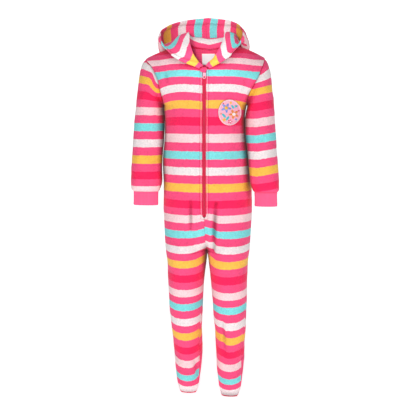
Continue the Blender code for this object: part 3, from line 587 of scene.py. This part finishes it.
def sleeve_rings(side):
    """Rings of a sleeve from the armhole down, turned from the armpit over the front."""
    turn = SLEEVE_TURN
    front = armhole(turn[:49], "front", side)
    hole = np.concatenate([front, armhole(2 * math.pi - turn[49:], "back", side)])

    def oval(ring):
        inner, outer = (
            np.array([read(SLEEVE, name, ring) for name in (edge, "depth", f"{edge}_height")])
            for edge in ("inner", "outer")
        )
        swing = np.outer(np.cos(turn), (inner - outer) / 2)
        under = (1 + np.cos(turn)) / 2
        swing[:, 0] += side * read(SWAY, "shift", inner[2]) * under
        swing[:, 0] += OUTER_LEAN * side * (1 - under) * (1 - CUFF_EVENS * np.clip((ring - 7) / 4, 0, 1))
        swing[:, 1] -= np.sin(turn) * read(SLEEVE, "half_depth", ring)
        return (inner + outer) / 2 + swing

    places = np.concatenate([[0, 0.05, 0.12, 0.22], np.linspace(0.35, 10.9, 104), [11]])
    rings = [oval(ring) + (hole - oval(0)) * max(0.0, 1 - ring / 3) ** 2 for ring in places]
    return np.array(rings) * np.array([side, 1, 1])


OUTER_EDGE = {"height outer": [
    (-0.45, 0.215), (-0.30, 0.2155), (-0.202, 0.2085), (-0.106, 0.199), (-0.032, 0.178),
]}
# How steeply the stripes sink inwards from the sleeve's outer edge, and how far they are raised
CAPS = {"height right left": [(-0.20, 0.0, 0.17), (-0.13, 0.1, 0.25), (-0.08, 0.3, 0.5), (-0.03, 0.8, 0.8)]}
RAISED = {"height right left": [
    (-0.20, 0.0, 0.024), (-0.10, 0.0, 0.024), (-0.06, 0.0, 0.016), (-0.03, 0.0, -0.004),
]}
for word, side in SIDES.items():
    points = sleeve_rings(side)
    normals = sheet_normals(points, True, -side)
    x, z = points[..., 0] * side, points[..., 2]
    inwards = np.clip(read(OUTER_EDGE, "outer", z) - x, 0, 0.06)
    cut = z + inwards * read(CAPS, word, z) + read(RAISED, word, z)
    if side < 0:
        cut = cut + 0.036 * smooth(inwards, 0.026, 0.060) * smooth(z, -0.168, -0.105)
    bands = read(SLEEVE_STRIPES, "band", cut)
    loose = np.minimum(1, 1.3 * (1 - np.cos(SLEEVE_TURN)) / 2)[:, None]
    points = sunk_seams(points, normals, "TB") + (softened(points, normals, 0.0018, 0.05) - points) * loose
    made = cloth(f"sleeve_{word}_fleece", points, bands, fleece, closed=True, flip=side > 0)
    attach(made, "garment")
    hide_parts(f"sleeve_{word}")
    fleece_pieces[f"sleeve_{word}"] = made

# Cuffs: tubes of 2x2 ribbed cotton knit with elastane, folded double, which draw the sleeves in.
# Their ribs are 3 mm apart, a little wider than on the real cuff, so that they still show.
CUFF_TOP, CUFF_END = -0.4230, -0.4640
CUFF = {"height across depth half_width half_depth": [
    (-0.4230, 0.1795, -0.0410, 0.0355, 0.0180),
    (-0.4290, 0.1795, -0.0412, 0.0340, 0.0160),
    (-0.4450, 0.1798, -0.0416, 0.0338, 0.0155),
    (-0.4640, 0.1802, -0.0420, 0.0345, 0.0150),
]}
RIBS, RIB_KNIT = 54, 0.0022
rib_knit, tree, shader = material("ribbed_cotton", 0.85, sheen=0.1, specular=0.2)
place = node(tree, "ShaderNodeTexCoord").outputs["Object"]
rib = node(tree, "ShaderNodeAttribute", {"attribute_name": "band"}).outputs["Fac"]
loops = speckled(tree, place, 0.0012, 2.0)
# painted shade in the valleys between the ribs: the colour is darkened to 0.72 there
depth = ranged(tree, rib, -1.0, 1.0, 0.72, 1.04)
grain = ranged(tree, loops, 0.3, 0.7, 0.94, 1.05)
finished(tree, shader, shaded(tree, colour("ff6595")[:3], worked(tree, "MULTIPLY", depth, grain)), loops)
for word, side in SIDES.items():
    turn = np.linspace(0, 2 * math.pi, 6 * RIBS + 1)[:-1]
    rib = np.cos(turn * RIBS)
    rings, ribs = [], []
    for height in np.linspace(CUFF_TOP, CUFF_END, 16):
        x = read(CUFF, "across", height) - read(CUFF, "half_width", height) * np.cos(turn)
        x = x + OUTER_LEAN * side * (1 - np.cos(turn)) / 2 * (1 - CUFF_EVENS)
        y = read(CUFF, "depth", height) - read(CUFF, "half_depth", height) * np.sin(turn)
        rings.append(np.stack([x, y, np.full_like(x, height)], axis=-1))
        ribs.append(rib)
    points = np.array(rings) * np.array([side, 1, 1])
    normals = sheet_normals(points, True, -side)
    ribs = np.array(ribs)
    end = smooth(from_edge(points, 0, 1), 0, 0.003)
    points = points + normals * (0.0005 * ribs * end - 0.0008 * (1 - end))[..., None]
    points = sunk_seams(points, normals, "T")
    made = cloth(f"cuff_{word}_rib", points, ribs, rib_knit, closed=True, thick=RIB_KNIT, flip=side > 0)
    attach(made, "garment")
    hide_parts(f"cuff_{word}")

# Hood: two mirrored halves of the fleece, sewn together over the head and to the neckline. It lies open:
# the bag hangs down the back, and its front edges roll out over the shoulders, showing the reverse.
HEM_WIDTH, HOOD_STRIPE = 0.021, 0.024
HEM, SINGLE = CLOTH * 1.6, 0.62  # the turned hem's thickness, and the share of it that one layer takes
# The hood lies a little to the wearer's right: how far, each stage's share of it, and how much the
# wearer's-left half is lifted by it
HOOD_LEAN = -0.017
HOOD_LEANS = {"stand": 0.03, "fold": -0.15, "roll": 0.05, "slope": 0.50}
HOOD_LIFTS = {"roll": 0.2, "slope": 0.4, "valley": 0.4}
# Stages of the cloth's way from the neckline to the rim, over the rolled lapel and up from the valley
# behind it: across, depth and height at seven places along the neckline
HOOD_ALONG = (0.00, 0.20, 0.35, 0.50, 0.65, 0.80, 1.00)
HOOD = {
    "stand": [
        (0.006, -0.0925, -0.057), (0.036, -0.081, -0.033), (0.049, -0.054, -0.004),
        (0.056, -0.02, 0.022), (0.058, 0.018, 0.033), (0.044, 0.05, 0.027), (0, 0.072, 0.024),
    ],
    "fold": [
        (0.007, -0.095, -0.058), (0.037, -0.086, -0.015), (0.048, -0.056, 0.018),
        (0.057, -0.016, 0.046), (0.065, 0.026, 0.045), (0.058, 0.064, 0.04), (0, 0.09, 0.037),
    ],
    "roll": [
        (0.009, -0.0965, -0.0585), (0.047, -0.089, -0.02), (0.062, -0.06, 0.014),
        (0.076, -0.016, 0.039), (0.084, 0.033, 0.037), (0.076, 0.08, 0.028), (0, 0.106, 0.022),
    ],
    "slope": [
        (0.01, -0.097, -0.059), (0.056, -0.087, -0.0285), (0.08, -0.058, 0.004),
        (0.096, -0.012, 0.02), (0.104, 0.044, 0.006), (0.088, 0.096, -0.028), (0, 0.111, -0.04),
    ],
    "valley": [
        (0.011, -0.097, -0.0595), (0.062, -0.084, -0.0325), (0.094, -0.053, -0.0045),
        (0.113, -0.006, 0.012), (0.121, 0.062, -0.034), (0.098, 0.115, -0.092), (0, 0.13, -0.12),
    ],
    "rise": [
        (0.012, -0.0968, -0.06), (0.066, -0.082, -0.0335), (0.103, -0.049, -0.0035),
        (0.128, -0.004, 0.02), (0.138, 0.058, 0.01), (0.116, 0.123, -0.01), (0, 0.164, -0.04),
    ],
    "hem": [
        (0.0125, -0.0965, -0.06), (0.069, -0.079, -0.0315), (0.109, -0.046, 0.001),
        (0.131, -0.003, 0.035), (0.126, 0.052, 0.05), (0.096, 0.093, 0.064), (0, 0.124, 0.068),
    ],
    "face": [
        (0.013, -0.096, -0.06), (0.07, -0.076, -0.0275), (0.111, -0.043, 0.007),
        (0.125, -0.004, 0.047), (0.112, 0.048, 0.071), (0.073, 0.085, 0.09), (0, 0.101, 0.101),
    ],
}
# Where the hood's columns meet its rim, measured along the cloth from the brow
RIM = {"along distance": [
    (0.00, 0.384), (0.09, 0.359), (0.20, 0.322), (0.35, 0.270), (0.43, 0.242),
    (0.50, 0.205), (0.65, 0.128), (0.80, 0.076), (1.00, 0.0),
]}
# A hood half laid flat: its back edge from the nape up, round the crown and forward to the brow
NAPE, CROWN, BROW = (0.230, 0.043), 0.090, 0.384


def hood_cut(share):
    """How high the back edge of a hood half lies in the flat cut, at a share of its length from the nape."""
    straight = BROW - CROWN - NAPE[1]
    curve = math.pi / 2 * CROWN
    level = NAPE[0] - CROWN
    run = share * (straight + curve + level)
    bend = np.clip((run - straight) / CROWN, 0, math.pi / 2)
    return NAPE[1] + np.clip(run, 0, straight) + CROWN * np.sin(bend)


def hood_rows(side):
    """Grid of half a hood from the neckline to its rim, its stripes, and each point's way to the rim."""
    alongs = np.concatenate([np.linspace(0, 0.985, 84), [0.993, 1.0]])
    columns, heights, rims, shares = [], [], [], []
    for along in alongs:
        lean = HOOD_LEAN * side * min(1, along / 0.4)
        stages = [neckline(along)]
        for name, rows in HOOD.items():
            table = {"along across depth height": [(at, *row) for at, row in zip(HOOD_ALONG, rows)]}
            point = np.array([read(table, axis, along) for axis in ("across", "depth", "height")])
            brow = 1 - 0.45 * smooth(along, 0.6, 1.0) * (name == "face")
            point[0] += lean * HOOD_LEANS.get(name, 1) * brow
            point[2] -= min(lean, 0) * HOOD_LIFTS.get(name, 0) * 4 * along * (1 - along)
            stages.append(point)
        stages = np.array(stages)
        reach = np.concatenate([[0], np.cumsum(np.linalg.norm(np.diff(stages, axis=0), axis=1))])
        hem = reach[-1] - min(HEM_WIDTH, reach[-1] * 0.45)
        places = np.concatenate([np.linspace(0, hem, 74), np.linspace(hem, reach[-1], 15)[1:]])
        columns.append(np.stack([through(reach, stages[:, i], places) for i in range(3)], axis=-1))
        share = places / reach[-1]
        height = hood_cut(share) * (1 - read(RIM, "distance", along) / BROW)
        height += (NAPE[1] - height[0]) * np.clip(1 - share / 0.3, 0, 1) ** 2 * smooth(along, 0.2, 0.6)
        heights.append(height)
        shares.append(share)
        rims.append(reach[-1] - places)
    points = np.swapaxes(np.array(columns), 0, 1) * np.array([side, 1, 1])
    from_seam = from_edge(points, 1, 1)
    rim = read(RIM, "distance", alongs)
    inside = from_seam * np.where(rim > 0, rim / np.maximum(from_seam[-1], 1e-6), 1)
    level = smooth(np.array(shares).T, 0.55, 0.68) * smooth(alongs, 0.45, 0.6)
    below = (BROW - np.array(heights).T) * (1 - level) + inside * level
    return points, 1.5 + below / HOOD_STRIPE, np.array(rims).T


# The fleece for the hood, whose reverse shows: a lit copy, with weaker painted shade in its hollows and its
# colour raised up to 8 % above its own as painted light.
hood_lit_fleece = fleece.copy()
hood_lit_fleece.name = "coral_fleece_hood_lit"
hood_lit_fleece.node_tree.nodes["hollow shade gamma"].inputs[3].default_value = 1.15
hood_lit_fleece.node_tree.nodes["hollow shade"].inputs[3].default_value = 0.80
hood_lit_fleece.node_tree.nodes["hollow shade"].inputs[4].default_value = 1.08
for word, side in SIDES.items():
    points, bands, rims = hood_rows(side)
    normals = sheet_normals(points, False, side)
    points = softened(sunk_seams(points, normals, "TR", 0.0016), normals, 0.0012, 0.045)
    hemmed = smooth(-rims, -HEM_WIDTH, -HEM_WIDTH + 0.003)
    stitch = np.exp(-(((rims - HEM_WIDTH + 0.0035) / 0.0013) ** 2))
    swell = 0.0024 * hemmed - 0.0022 * stitch
    points = points - normals * swell[..., None]
    made = cloth(f"hood_{word}_fleece", points, bands, hood_lit_fleece, flip=side < 0)
    hem_group = made.vertex_groups.new(name="hem")
    for count, value in enumerate(np.ravel(hemmed)):
        hem_group.add([count], SINGLE + (1 - SINGLE) * float(value), "REPLACE")
    wall = made.modifiers["thickness"]
    wall.thickness = HEM
    wall.vertex_group = "hem"
    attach(made, "garment")
    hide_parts(f"hood_{word}")
    fleece_pieces[f"hood_{word}"] = made

# Neck facing and label: a curved piece of crimson jersey that covers the neck seam inside the back, and
# a bare white satin tape sewn onto it. Both are stitched down flat.
FACING, FACING_DEPTH, SEAM_GAP = 0.0012, 0.056, 0.0003
LABEL, LABEL_SIZE, LABEL_PLACE = 0.0005, (0.040, 0.033), (-0.003, -0.027)


def trees_of(*names):
    """Ray trees of fleece pieces as they are, with their thickness."""
    bpy.context.view_layer.update()
    graph = bpy.context.evaluated_depsgraph_get()
    return [BVHTree.FromObject(fleece_pieces[name], graph) for name in names]


def laid_on(trees, across, upright, way, lift, slot=0.0006):
    """Points above the first surface met from the front (1) or from inside (-1), with their normals."""
    points, normals = np.zeros((*across.shape, 3)), np.zeros((*across.shape, 3))
    lift = np.broadcast_to(lift, across.shape)
    for i in np.ndindex(across.shape):
        beside = math.copysign(max(abs(across[i]), slot), across[i])
        start = Vector((beside, -0.5 if way > 0 else 0.0, upright[i]))
        hits = [tree.ray_cast(start, Vector((0, 1, 0))) for tree in trees]
        where, normal, _, _ = min((hit for hit in hits if hit[0]), key=lambda hit: hit[3])
        points[i] = where
        normals[i] = normal
    normals = evened(normals)
    normals /= np.linalg.norm(normals, axis=-1, keepdims=True)
    points = points + normals * lift[..., None]
    points[..., 0] += across - np.where(np.abs(across) < slot, np.copysign(slot, across), across)
    return points, normals


def evened(values):
    """A grid's values, each averaged with its neighbours' a few times."""
    for _ in range(3):
        near = np.pad(values, ((1, 1), (1, 1), (0, 0)), mode="edge")
        around = near[:-2, 1:-1] + near[2:, 1:-1] + near[1:-1, :-2] + near[1:-1, 2:]
        values = (around + 2 * near[1:-1, 1:-1]) / 6
    return values


def plate_grid(across, upright, count, round_part):
    """A flat grid over a plate whose corners are rounded: 1 makes it an oval, 0 leaves it square."""
    one = np.linspace(-1, 1, count)
    u, v = np.meshgrid(one, -one)
    x = u * np.sqrt(1 - round_part * v * v / 2) * across / 2
    return x, v * np.sqrt(1 - round_part * u * u / 2) * upright / 2


def threads(tree, place, way, pitch, distortion, detail=2.0):
    """Waves that run one way, one for each thread."""
    kind = {"wave_type": "BANDS", "bands_direction": way}
    waves = {"_Vector": place, "_Scale": 1 / (pitch * 20), "_Distortion": distortion, "_Detail": detail}
    return node(tree, "ShaderNodeTexWave", kind, **waves).outputs["Fac"]


def woven(name, code, pitch, roughness, sheen, low=0.86):
    """A plain weave or jersey: two crossing waves of threads, darker between them."""
    made, tree, shader = material(name, roughness, sheen=sheen, specular=0.3)
    place = node(tree, "ShaderNodeTexCoord").outputs["Object"]
    weave = worked(tree, "ADD", *[threads(tree, place, way, pitch, 0.6, 1.0) for way in ("X", "Z")])
    hue = shaded(tree, colour(code)[:3], ranged(tree, weave, 0.0, 2.0, low, 1.05))
    finished(tree, shader, hue, weave, 0.4, pitch / 4)
    return made


def stitches(name, rows, finish, length=0.0024, radius=0.00042):
    """Short lengths of thread lying along rows of points, as one piece."""
    corners, faces = [], []
    for points, normals in rows:
        for count in range(len(points) - 1):
            start, end = points[count], points[count + 1]
            line = (end - start) / max(np.linalg.norm(end - start), 1e-9)
            across = np.cross(line, normals[count])
            middle = (start + end) / 2
            base = len(corners)
            for share, girth in ((-0.5, 0.35), (-0.3, 1.0), (0.3, 1.0), (0.5, 0.35)):
                for turn in np.arange(6) * math.pi / 3:
                    out = across * math.cos(turn) + normals[count] * math.sin(turn) * 0.8
                    corners.append(middle + line * share * length + out * radius * girth)
            for ring in range(3):
                for k in range(6):
                    a, b = base + ring * 6 + k, base + ring * 6 + (k + 1) % 6
                    faces.append([a, b, b + 6, a + 6])
            faces += [list(range(base + 5, base - 1, -1)), list(range(base + 18, base + 24))]
    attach(surface(name, corners, faces, finish), "garment")


backs = trees_of("back_left", "back_right")
sweep_across = np.linspace(-1, 1, 57)
top = read(NECK, "height", 1 - np.abs(sweep_across) * 0.19) - 0.004
depth = 0.010 + (FACING_DEPTH - 0.010) * np.sqrt(1 - (sweep_across * 0.97) ** 2)
fall = np.linspace(0, 1, 26)[:, None]
across, upright = np.tile(sweep_across * 0.042, (26, 1)), top - fall * depth
points, normals = laid_on(backs, across, upright, -1, SEAM_GAP + FACING / 2)
jersey = woven("cotton_jersey", "ff4a7c", 0.0011, 0.8, 0.1)
made = cloth("neck_facing_jersey", points, 0, jersey, thick=FACING, flip=True)
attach(made, "garment")
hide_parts("neck_facing")
thread = woven("sewing_thread", "d8315c", 0.0004, 0.55, 0.2)
above = SEAM_GAP + FACING + 0.0002
hem_line, hem_normals = laid_on(backs, across[23:24], upright[23:24], -1, above)
stitches("facing_stitches", [(hem_line[0], hem_normals[0])], thread, 0.0012)

x, z = plate_grid(*LABEL_SIZE, 17, 0.0)
lift = 3 * SEAM_GAP + FACING + LABEL / 2
points, normals = laid_on(backs, x + LABEL_PLACE[0], z + LABEL_PLACE[1], -1, lift)
satin = woven("satin_tape", "fffbfc", 0.0008, 0.45, 0.1, 0.97)
made = cloth("neck_label_satin", points, 0, satin, thick=LABEL, flip=True)
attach(made, "garment")
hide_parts("neck_label")

# Zip: a closed coil zip on two woven polyester tapes, sewn in behind the turned edges of the fronts.
# Its coils are 2.2 mm apart, as on a number 5 zip.
ZIP_GAP, ZIP_TAPE, COIL_PITCH, COIL_SHIFT = 0.0007, 0.0009, 0.0022, 0.0008


def centre_front(height):
    """How far forward the middle of the cloth lies beside the zip."""
    rise = (np.asarray(height, float) - UNDERARM) / (ZIP_TOP - UNDERARM)
    base = read(TRUNK, "front", UNDERARM)
    above = base + (read(NECK, "depth", 0) - base) * np.maximum(rise, 0) ** 2
    return np.where(rise > 0, above, read(TRUNK, "front", height))


heights = np.linspace(ZIP_TOP - 0.003, ZIP_END - 0.001, 150)
across = np.linspace(-0.0100, 0.0100, 21)
ridge = 0.0003 * np.exp(-(((np.abs(across) - 0.0040) / 0.0006) ** 2))
depths = centre_front(heights) + CLOTH / 2 + ZIP_GAP + ZIP_TAPE / 2
points = np.array([[(x, y - lift, z) for x, lift in zip(across, ridge)] for y, z in zip(depths, heights)])
tape = woven("woven_tape", "e32a51", 0.0009, 0.75, 0.1)
zip_tapes = cloth("zip_tape_woven", points, 0, tape, thick=ZIP_TAPE, flip=True)
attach(zip_tapes, "garment")
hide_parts("zip_tape")

coil, tree, shader = material("nylon_coil", 0.4, specular=0.5)
place = node(tree, "ShaderNodeTexCoord").outputs["Object"]
depth = ranged(tree, speckled(tree, place, 0.0015), 0.3, 0.7, 0.85, 1.1)
finished(tree, shader, shaded(tree, colour("d92850")[:3], depth))
teeth = bmesh.new()
for count, height in enumerate(np.arange(ZIP_TOP - 0.006, ZIP_END + 0.002, -COIL_PITCH / 2)):
    way = 1 if count % 2 else -1
    y = float(centre_front(height)) + CLOTH / 2 + ZIP_GAP - 0.0006
    loop = []
    for turn in np.arange(10) * math.pi / 5:
        long, round_part = math.cos(turn), math.sin(turn)
        loop.append((way * COIL_SHIFT + long * 0.0019, height + round_part * 0.00048))
    rings = []
    for out, grow in ((-0.0004, 1.0), (0.0002, 1.0), (0.0006, 0.6)):
        middle = way * COIL_SHIFT * (1 - grow)
        ring = [(x * grow + middle, y - out, z + (height - z) * (1 - grow)) for x, z in loop]
        rings.append([teeth.verts.new(corner) for corner in ring])
    for k in range(10):
        for low, high in zip(rings, rings[1:]):
            teeth.faces.new([low[k], low[(k + 1) % 10], high[(k + 1) % 10], high[k]])
    teeth.faces.new(rings[-1])
    teeth.faces.new(rings[0][::-1])
bmesh.ops.recalc_face_normals(teeth, faces=teeth.faces)
mesh = bpy.data.meshes.new("zip_coils")
teeth.to_mesh(mesh)
teeth.free()
mesh.shade_smooth()
mesh.materials.append(coil)
made = placed("zip_coils", mesh)
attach(made, "garment")

# Topstitching: a row of lockstitch in crimson thread down each side of the zip, a box of stitches that
# closes its lower end, and stitches along the turned edges, coloured pale as a painted highlight where
# the nap of the turned edges catches the light.
fronts = trees_of("front_left", "front_right")


def beside_zip(away, pitch, lift):
    """A row of stitches down each side of the zip."""
    z = np.arange(ZIP_TOP - 0.008, ZIP_END + 0.004, -pitch)[None]
    lines = [laid_on(fronts, np.full(z.shape, side * away), z, 1, lift) for side in (-1, 1)]
    return [(line[0], facing_out[0]) for line, facing_out in lines]


rows = beside_zip(TOPSTITCH, 0.0034, 0.0001)
corner = np.array([(-1, 1), (1, 1), (1, -1), (-1, -1), (-1, 1)]) * np.array(BOX)
for start, end in zip(corner, corner[1:]):
    count = int(np.linalg.norm(end - start) / 0.0032) + 1
    x = np.linspace(start[0], end[0], count)
    z = np.linspace(start[1], end[1], count) + BOX_HEIGHT
    line, facing_out = laid_on(fronts, x[None], z[None], 1, 0.0001, ZIP_SLOT / 2 + 0.0004)
    rows.append((line[0], facing_out[0]))
stitches("zip_topstitching", rows, thread)

# painted highlight: real stitches, coloured pale for the light that the nap of the turned edges catches
pale_highlight_thread = woven("sewing_thread_pale_highlight", "ffd3df", 0.0004, 0.55, 0.2)
stitches("zip_edge_stitching", beside_zip(EDGE_STITCH, 0.0030, 0.0002), pale_highlight_thread, 0.0024, 0.0006)

# Slider and pull: a zinc die-casting under pale pink enamel, with a ring-shaped pull that swings on the
# slider's bridge. The enamel is thin and glossy; its colour is darkened a little in the corners as painted
# shade.
enamel, tree, shader = material("pink_enamel", 0.28, specular=0.5)
shader.inputs["Coat Weight"].default_value = 0.5
shader.inputs["Coat Roughness"].default_value = 0.12
place = node(tree, "ShaderNodeTexCoord").outputs["Object"]
# painted shade: ambient occlusion within 2.5 mm darkens the enamel's colour to 0.7 in the corners
corners = node(tree, "ShaderNodeAmbientOcclusion", {"samples": 8}, _Distance=0.0025).outputs["AO"]
depth = ranged(tree, speckled(tree, place, 0.004, 2.0), 0.3, 0.7, 0.95, 1.04)
corner_shade = ranged(tree, corners, 0.0, 0.7, 0.7, 1.0)
finished(tree, shader, shaded(tree, colour("fbb9cf")[:3], worked(tree, "MULTIPLY", depth, corner_shade)))
for name in ("zip_slider", "zip_pull"):
    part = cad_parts[name]
    part.data.materials.clear()
    part.data.materials.append(enamel)

# Chin guard: a folded scrap of the pink fleece, sewn over the zip's top so that it can't scratch.
GUARD, GUARD_SIZE, GUARD_PLACE = 0.0025, (0.024, 0.0130), (-0.0025, -0.0668)
x, z = plate_grid(*GUARD_SIZE, 21, 0.5)
x = x * (0.80 + 0.20 * z / GUARD_SIZE[1] * 2)
out = np.abs(np.linspace(-1, 1, 21))
dome = 1 - np.maximum(out[None], out[:, None]) ** 6
lift = SEAM_GAP + GUARD / 2 + 0.0007 * dome
points, normals = laid_on(fronts, x + GUARD_PLACE[0], z + GUARD_PLACE[1], 1, lift, ZIP_SLOT / 2 + 0.0005)
made = cloth("chin_guard_fleece", points, 1.5, fleece, thick=GUARD)
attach(made, "garment")
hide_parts("chin_guard")

# Chest patch: an oval of pale pink twill with flowers, stars and dots in satin stitch, edged with a
# raised satin border. Rayon thread gives the stitches their gloss.
PATCH, PATCH_SIZE, PATCH_PLACE = 0.0010, (0.062, 0.074), (0.0715, -0.1880)
chest = trees_of("front_left")
x, z = plate_grid(*PATCH_SIZE, 41, 1.0)
twill = woven("cotton_twill", "fbb3c9", 0.0010, 0.8, 0.1, 0.9)
points, normals = laid_on(chest, x + PATCH_PLACE[0], z + PATCH_PLACE[1], 1, SEAM_GAP * 3 + PATCH / 2)
patch = cloth("chest_patch_twill", points, 0, twill, thick=PATCH)
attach(patch, "garment")
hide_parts("chest_patch")


def satin_stitch(name, code):
    """Rayon embroidery thread laid side by side, half a millimetre a stitch and drawn at one."""
    made, tree, shader = material(name, 0.35, sheen=0.2, specular=0.5)
    place = node(tree, "ShaderNodeTexCoord").outputs["Object"]
    lines = threads(tree, place, "DIAGONAL", 0.001, 0.3)
    hue = shaded(tree, colour(code)[:3], ranged(tree, lines, 0.0, 1.0, 0.84, 1.05))
    finished(tree, shader, hue, lines, 0.5, 0.0003)
    return made


def outline(shape, turn):
    """A motif's radius at an angle, with 1 as its reach."""
    if shape == "flower":
        return 0.70 + 0.30 * np.cos(5 * turn)
    if shape == "star":
        return 0.45 + 0.55 * (1 - np.abs((turn * 5 / (2 * math.pi)) % 1 - 0.5) * 2) ** 1.3
    if shape == "leaf":
        return 1 / np.sqrt(np.cos(turn) ** 2 + (np.sin(turn) / 0.42) ** 2)
    return np.ones_like(turn)


AROUND = 40
# Thread's name and colour, then its motifs: shape, place across and up the patch and reach in mm, and turn
MOTIFS = {
    ("lilac", "8296d6"): [("flower", -10, 13, 14.5, 10), ("dot", 17, -20, 2.6, 0)],
    ("orange", "ee8a3c"): [("flower", 11, -5, 14.0, 30), ("dot", -24, -4, 2.2, 0)],
    ("turquoise", "3fc3cd"): [
        ("leaf", -16, -9, 7.5, 50),
        ("leaf", -6, -17, 7.0, 125),
        ("leaf", 8, 16, 6.5, 60),
        ("star", 17, 18, 5.4, 12),
    ],
    ("yellow", "ffb92e"): [("dot", -10, 13, 4.6, 0), ("star", -15, -21, 6.0, 20), ("star", 3, 28, 4.6, 0)],
    ("crimson", "e92561"): [("flower", 1, -26, 6.5, 0), ("dot", -18, 26, 2.4, 0), ("dot", 24, 5, 2.2, 0)],
    ("white", "fbf7f8"): [("dot", 11, -5, 4.6, 0), ("dot", 1, -26, 2.2, 0)],
}
for (word, code), motifs in MOTIFS.items():
    corners, faces = [], []
    turn = np.linspace(0, 2 * math.pi, AROUND + 1)[:-1]
    for shape, right, up, reach, tilt in motifs:
        raised = 0.0012 if shape == "dot" and reach > 3 or word == "white" else 0.0004
        ring = np.array([0.02, 0.35, 0.65, 0.85, 0.96, 1.0, 1.0])
        height = np.array([1.0, 0.97, 0.86, 0.66, 0.4, 0.1, -0.5]) * 0.0009 + raised
        radius = outline(shape, turn + math.radians(tilt))[None] * ring[:, None] * reach / 1000
        x = radius * np.cos(turn) + right / 1000 + PATCH_PLACE[0]
        z = radius * np.sin(turn) + up / 1000 + PATCH_PLACE[1]
        points, _ = laid_on(chest, x, z, 1, SEAM_GAP * 3 + PATCH + height[:, None])
        base = len(corners)
        corners += points.reshape(-1, 3).tolist()
        for i in range(len(ring) - 1):
            for j in range(AROUND):
                here, k = base + i * AROUND, (j + 1) % AROUND
                faces.append([here + j, here + k, here + AROUND + k, here + AROUND + j])
        faces.append([base + k for k in range(AROUND - 1, -1, -1)])
    made = surface(f"patch_{word}_motifs", corners, faces, satin_stitch(f"rayon_thread_{word}", code))
    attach(made, "garment")

turn = np.linspace(0, 2 * math.pi, 161)[:-1]
ring = np.linspace(0.0, 1.0, 9)
swell = np.sin(ring * math.pi) ** 0.7 * 0.0013
reach = 1 - 0.085 * (1 - ring)
x = reach[:, None] * np.cos(turn) * PATCH_SIZE[0] / 2 + PATCH_PLACE[0]
z = reach[:, None] * np.sin(turn) * PATCH_SIZE[1] / 2 + PATCH_PLACE[1]
points, _ = laid_on(chest, x, z, 1, SEAM_GAP * 3 + PATCH * 0.6 + swell[:, None])
cord = satin_stitch("rayon_border", "fbd3df")
border = cloth("patch_border", points, 0, cord, closed=True, thick=0.0006)
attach(border, "garment")

# Floor and light: a pale seamless sweep, large soft lamps in front and above, and a bright surround,
# so that shadows stay short and soft as in a catalogue picture. A snoot lights the inside of the hood.
floor_height = min(cad_box[0][2], -1.083) - 0.002
bend_start, bend = 4.0, 1.5
profile = [(y, floor_height) for y in (-6.0, -2.0, bend_start)]
for turn in np.linspace(0.1, math.pi / 2, 14):
    profile.append((bend_start + bend * math.sin(turn), floor_height + bend * (1 - math.cos(turn))))
profile.append((bend_start + bend, floor_height + 6))
sweep = bmesh.new()
rails = [[sweep.verts.new((x, y, z)) for y, z in profile] for x in (-7.0, 7.0)]
for count in range(len(profile) - 1):
    sweep.faces.new([rails[0][count], rails[1][count], rails[1][count + 1], rails[0][count + 1]])
mesh = bpy.data.meshes.new("sweep")
sweep.to_mesh(mesh)
mesh.shade_smooth()
floor = placed("sweep", mesh)
paper, tree, shader = material("paper_backdrop", 0.9, specular=0.1)
shader.inputs["Base Color"].default_value = colour("fbfafa")
shader.inputs["Emission Color"].default_value = (1, 1, 1, 1)
shader.inputs["Emission Strength"].default_value = 0.64
mesh.materials.append(paper)
bpy.context.scene.view_settings.view_transform = "Standard"
world = bpy.data.worlds.new("studio")
bpy.context.scene.world = world
world.use_nodes = True
world.node_tree.nodes["Background"].inputs[0].default_value = (1, 1, 1, 1)
world.node_tree.nodes["Background"].inputs[1].default_value = 0.20


def aimed(lamp, spot, target):
    """Sets up a lamp at a spot, turned to its target."""
    made = placed(lamp.name, lamp)
    made.location = spot
    made.rotation_euler = (Vector(target) - Vector(spot)).to_track_quat("-Z", "Y").to_euler()


snoot = bpy.data.lights.new("snoot", "SPOT")
snoot.energy = 52
snoot.spot_size = math.radians(12.5)
snoot.spot_blend = 1.0
snoot.shadow_soft_size = 0.08
aimed(snoot, (0.04, -1.6, -0.06), (-0.004, 0.08, 0.045))
# Each lamp's place, size and power
LAMPS = {
    "key": ((0.10, -3.0, -0.02), 0.8, 38),
    "fill": ((1.2, -2.8, -0.4), 1.8, 7),
    "top": ((-0.2, -1.2, 1.9), 1.2, 7),
}
for name, (spot, size, power) in LAMPS.items():
    lamp = bpy.data.lights.new(name, "AREA")
    lamp.size = size
    lamp.energy = power
    aimed(lamp, spot, (0, 0, -0.45))
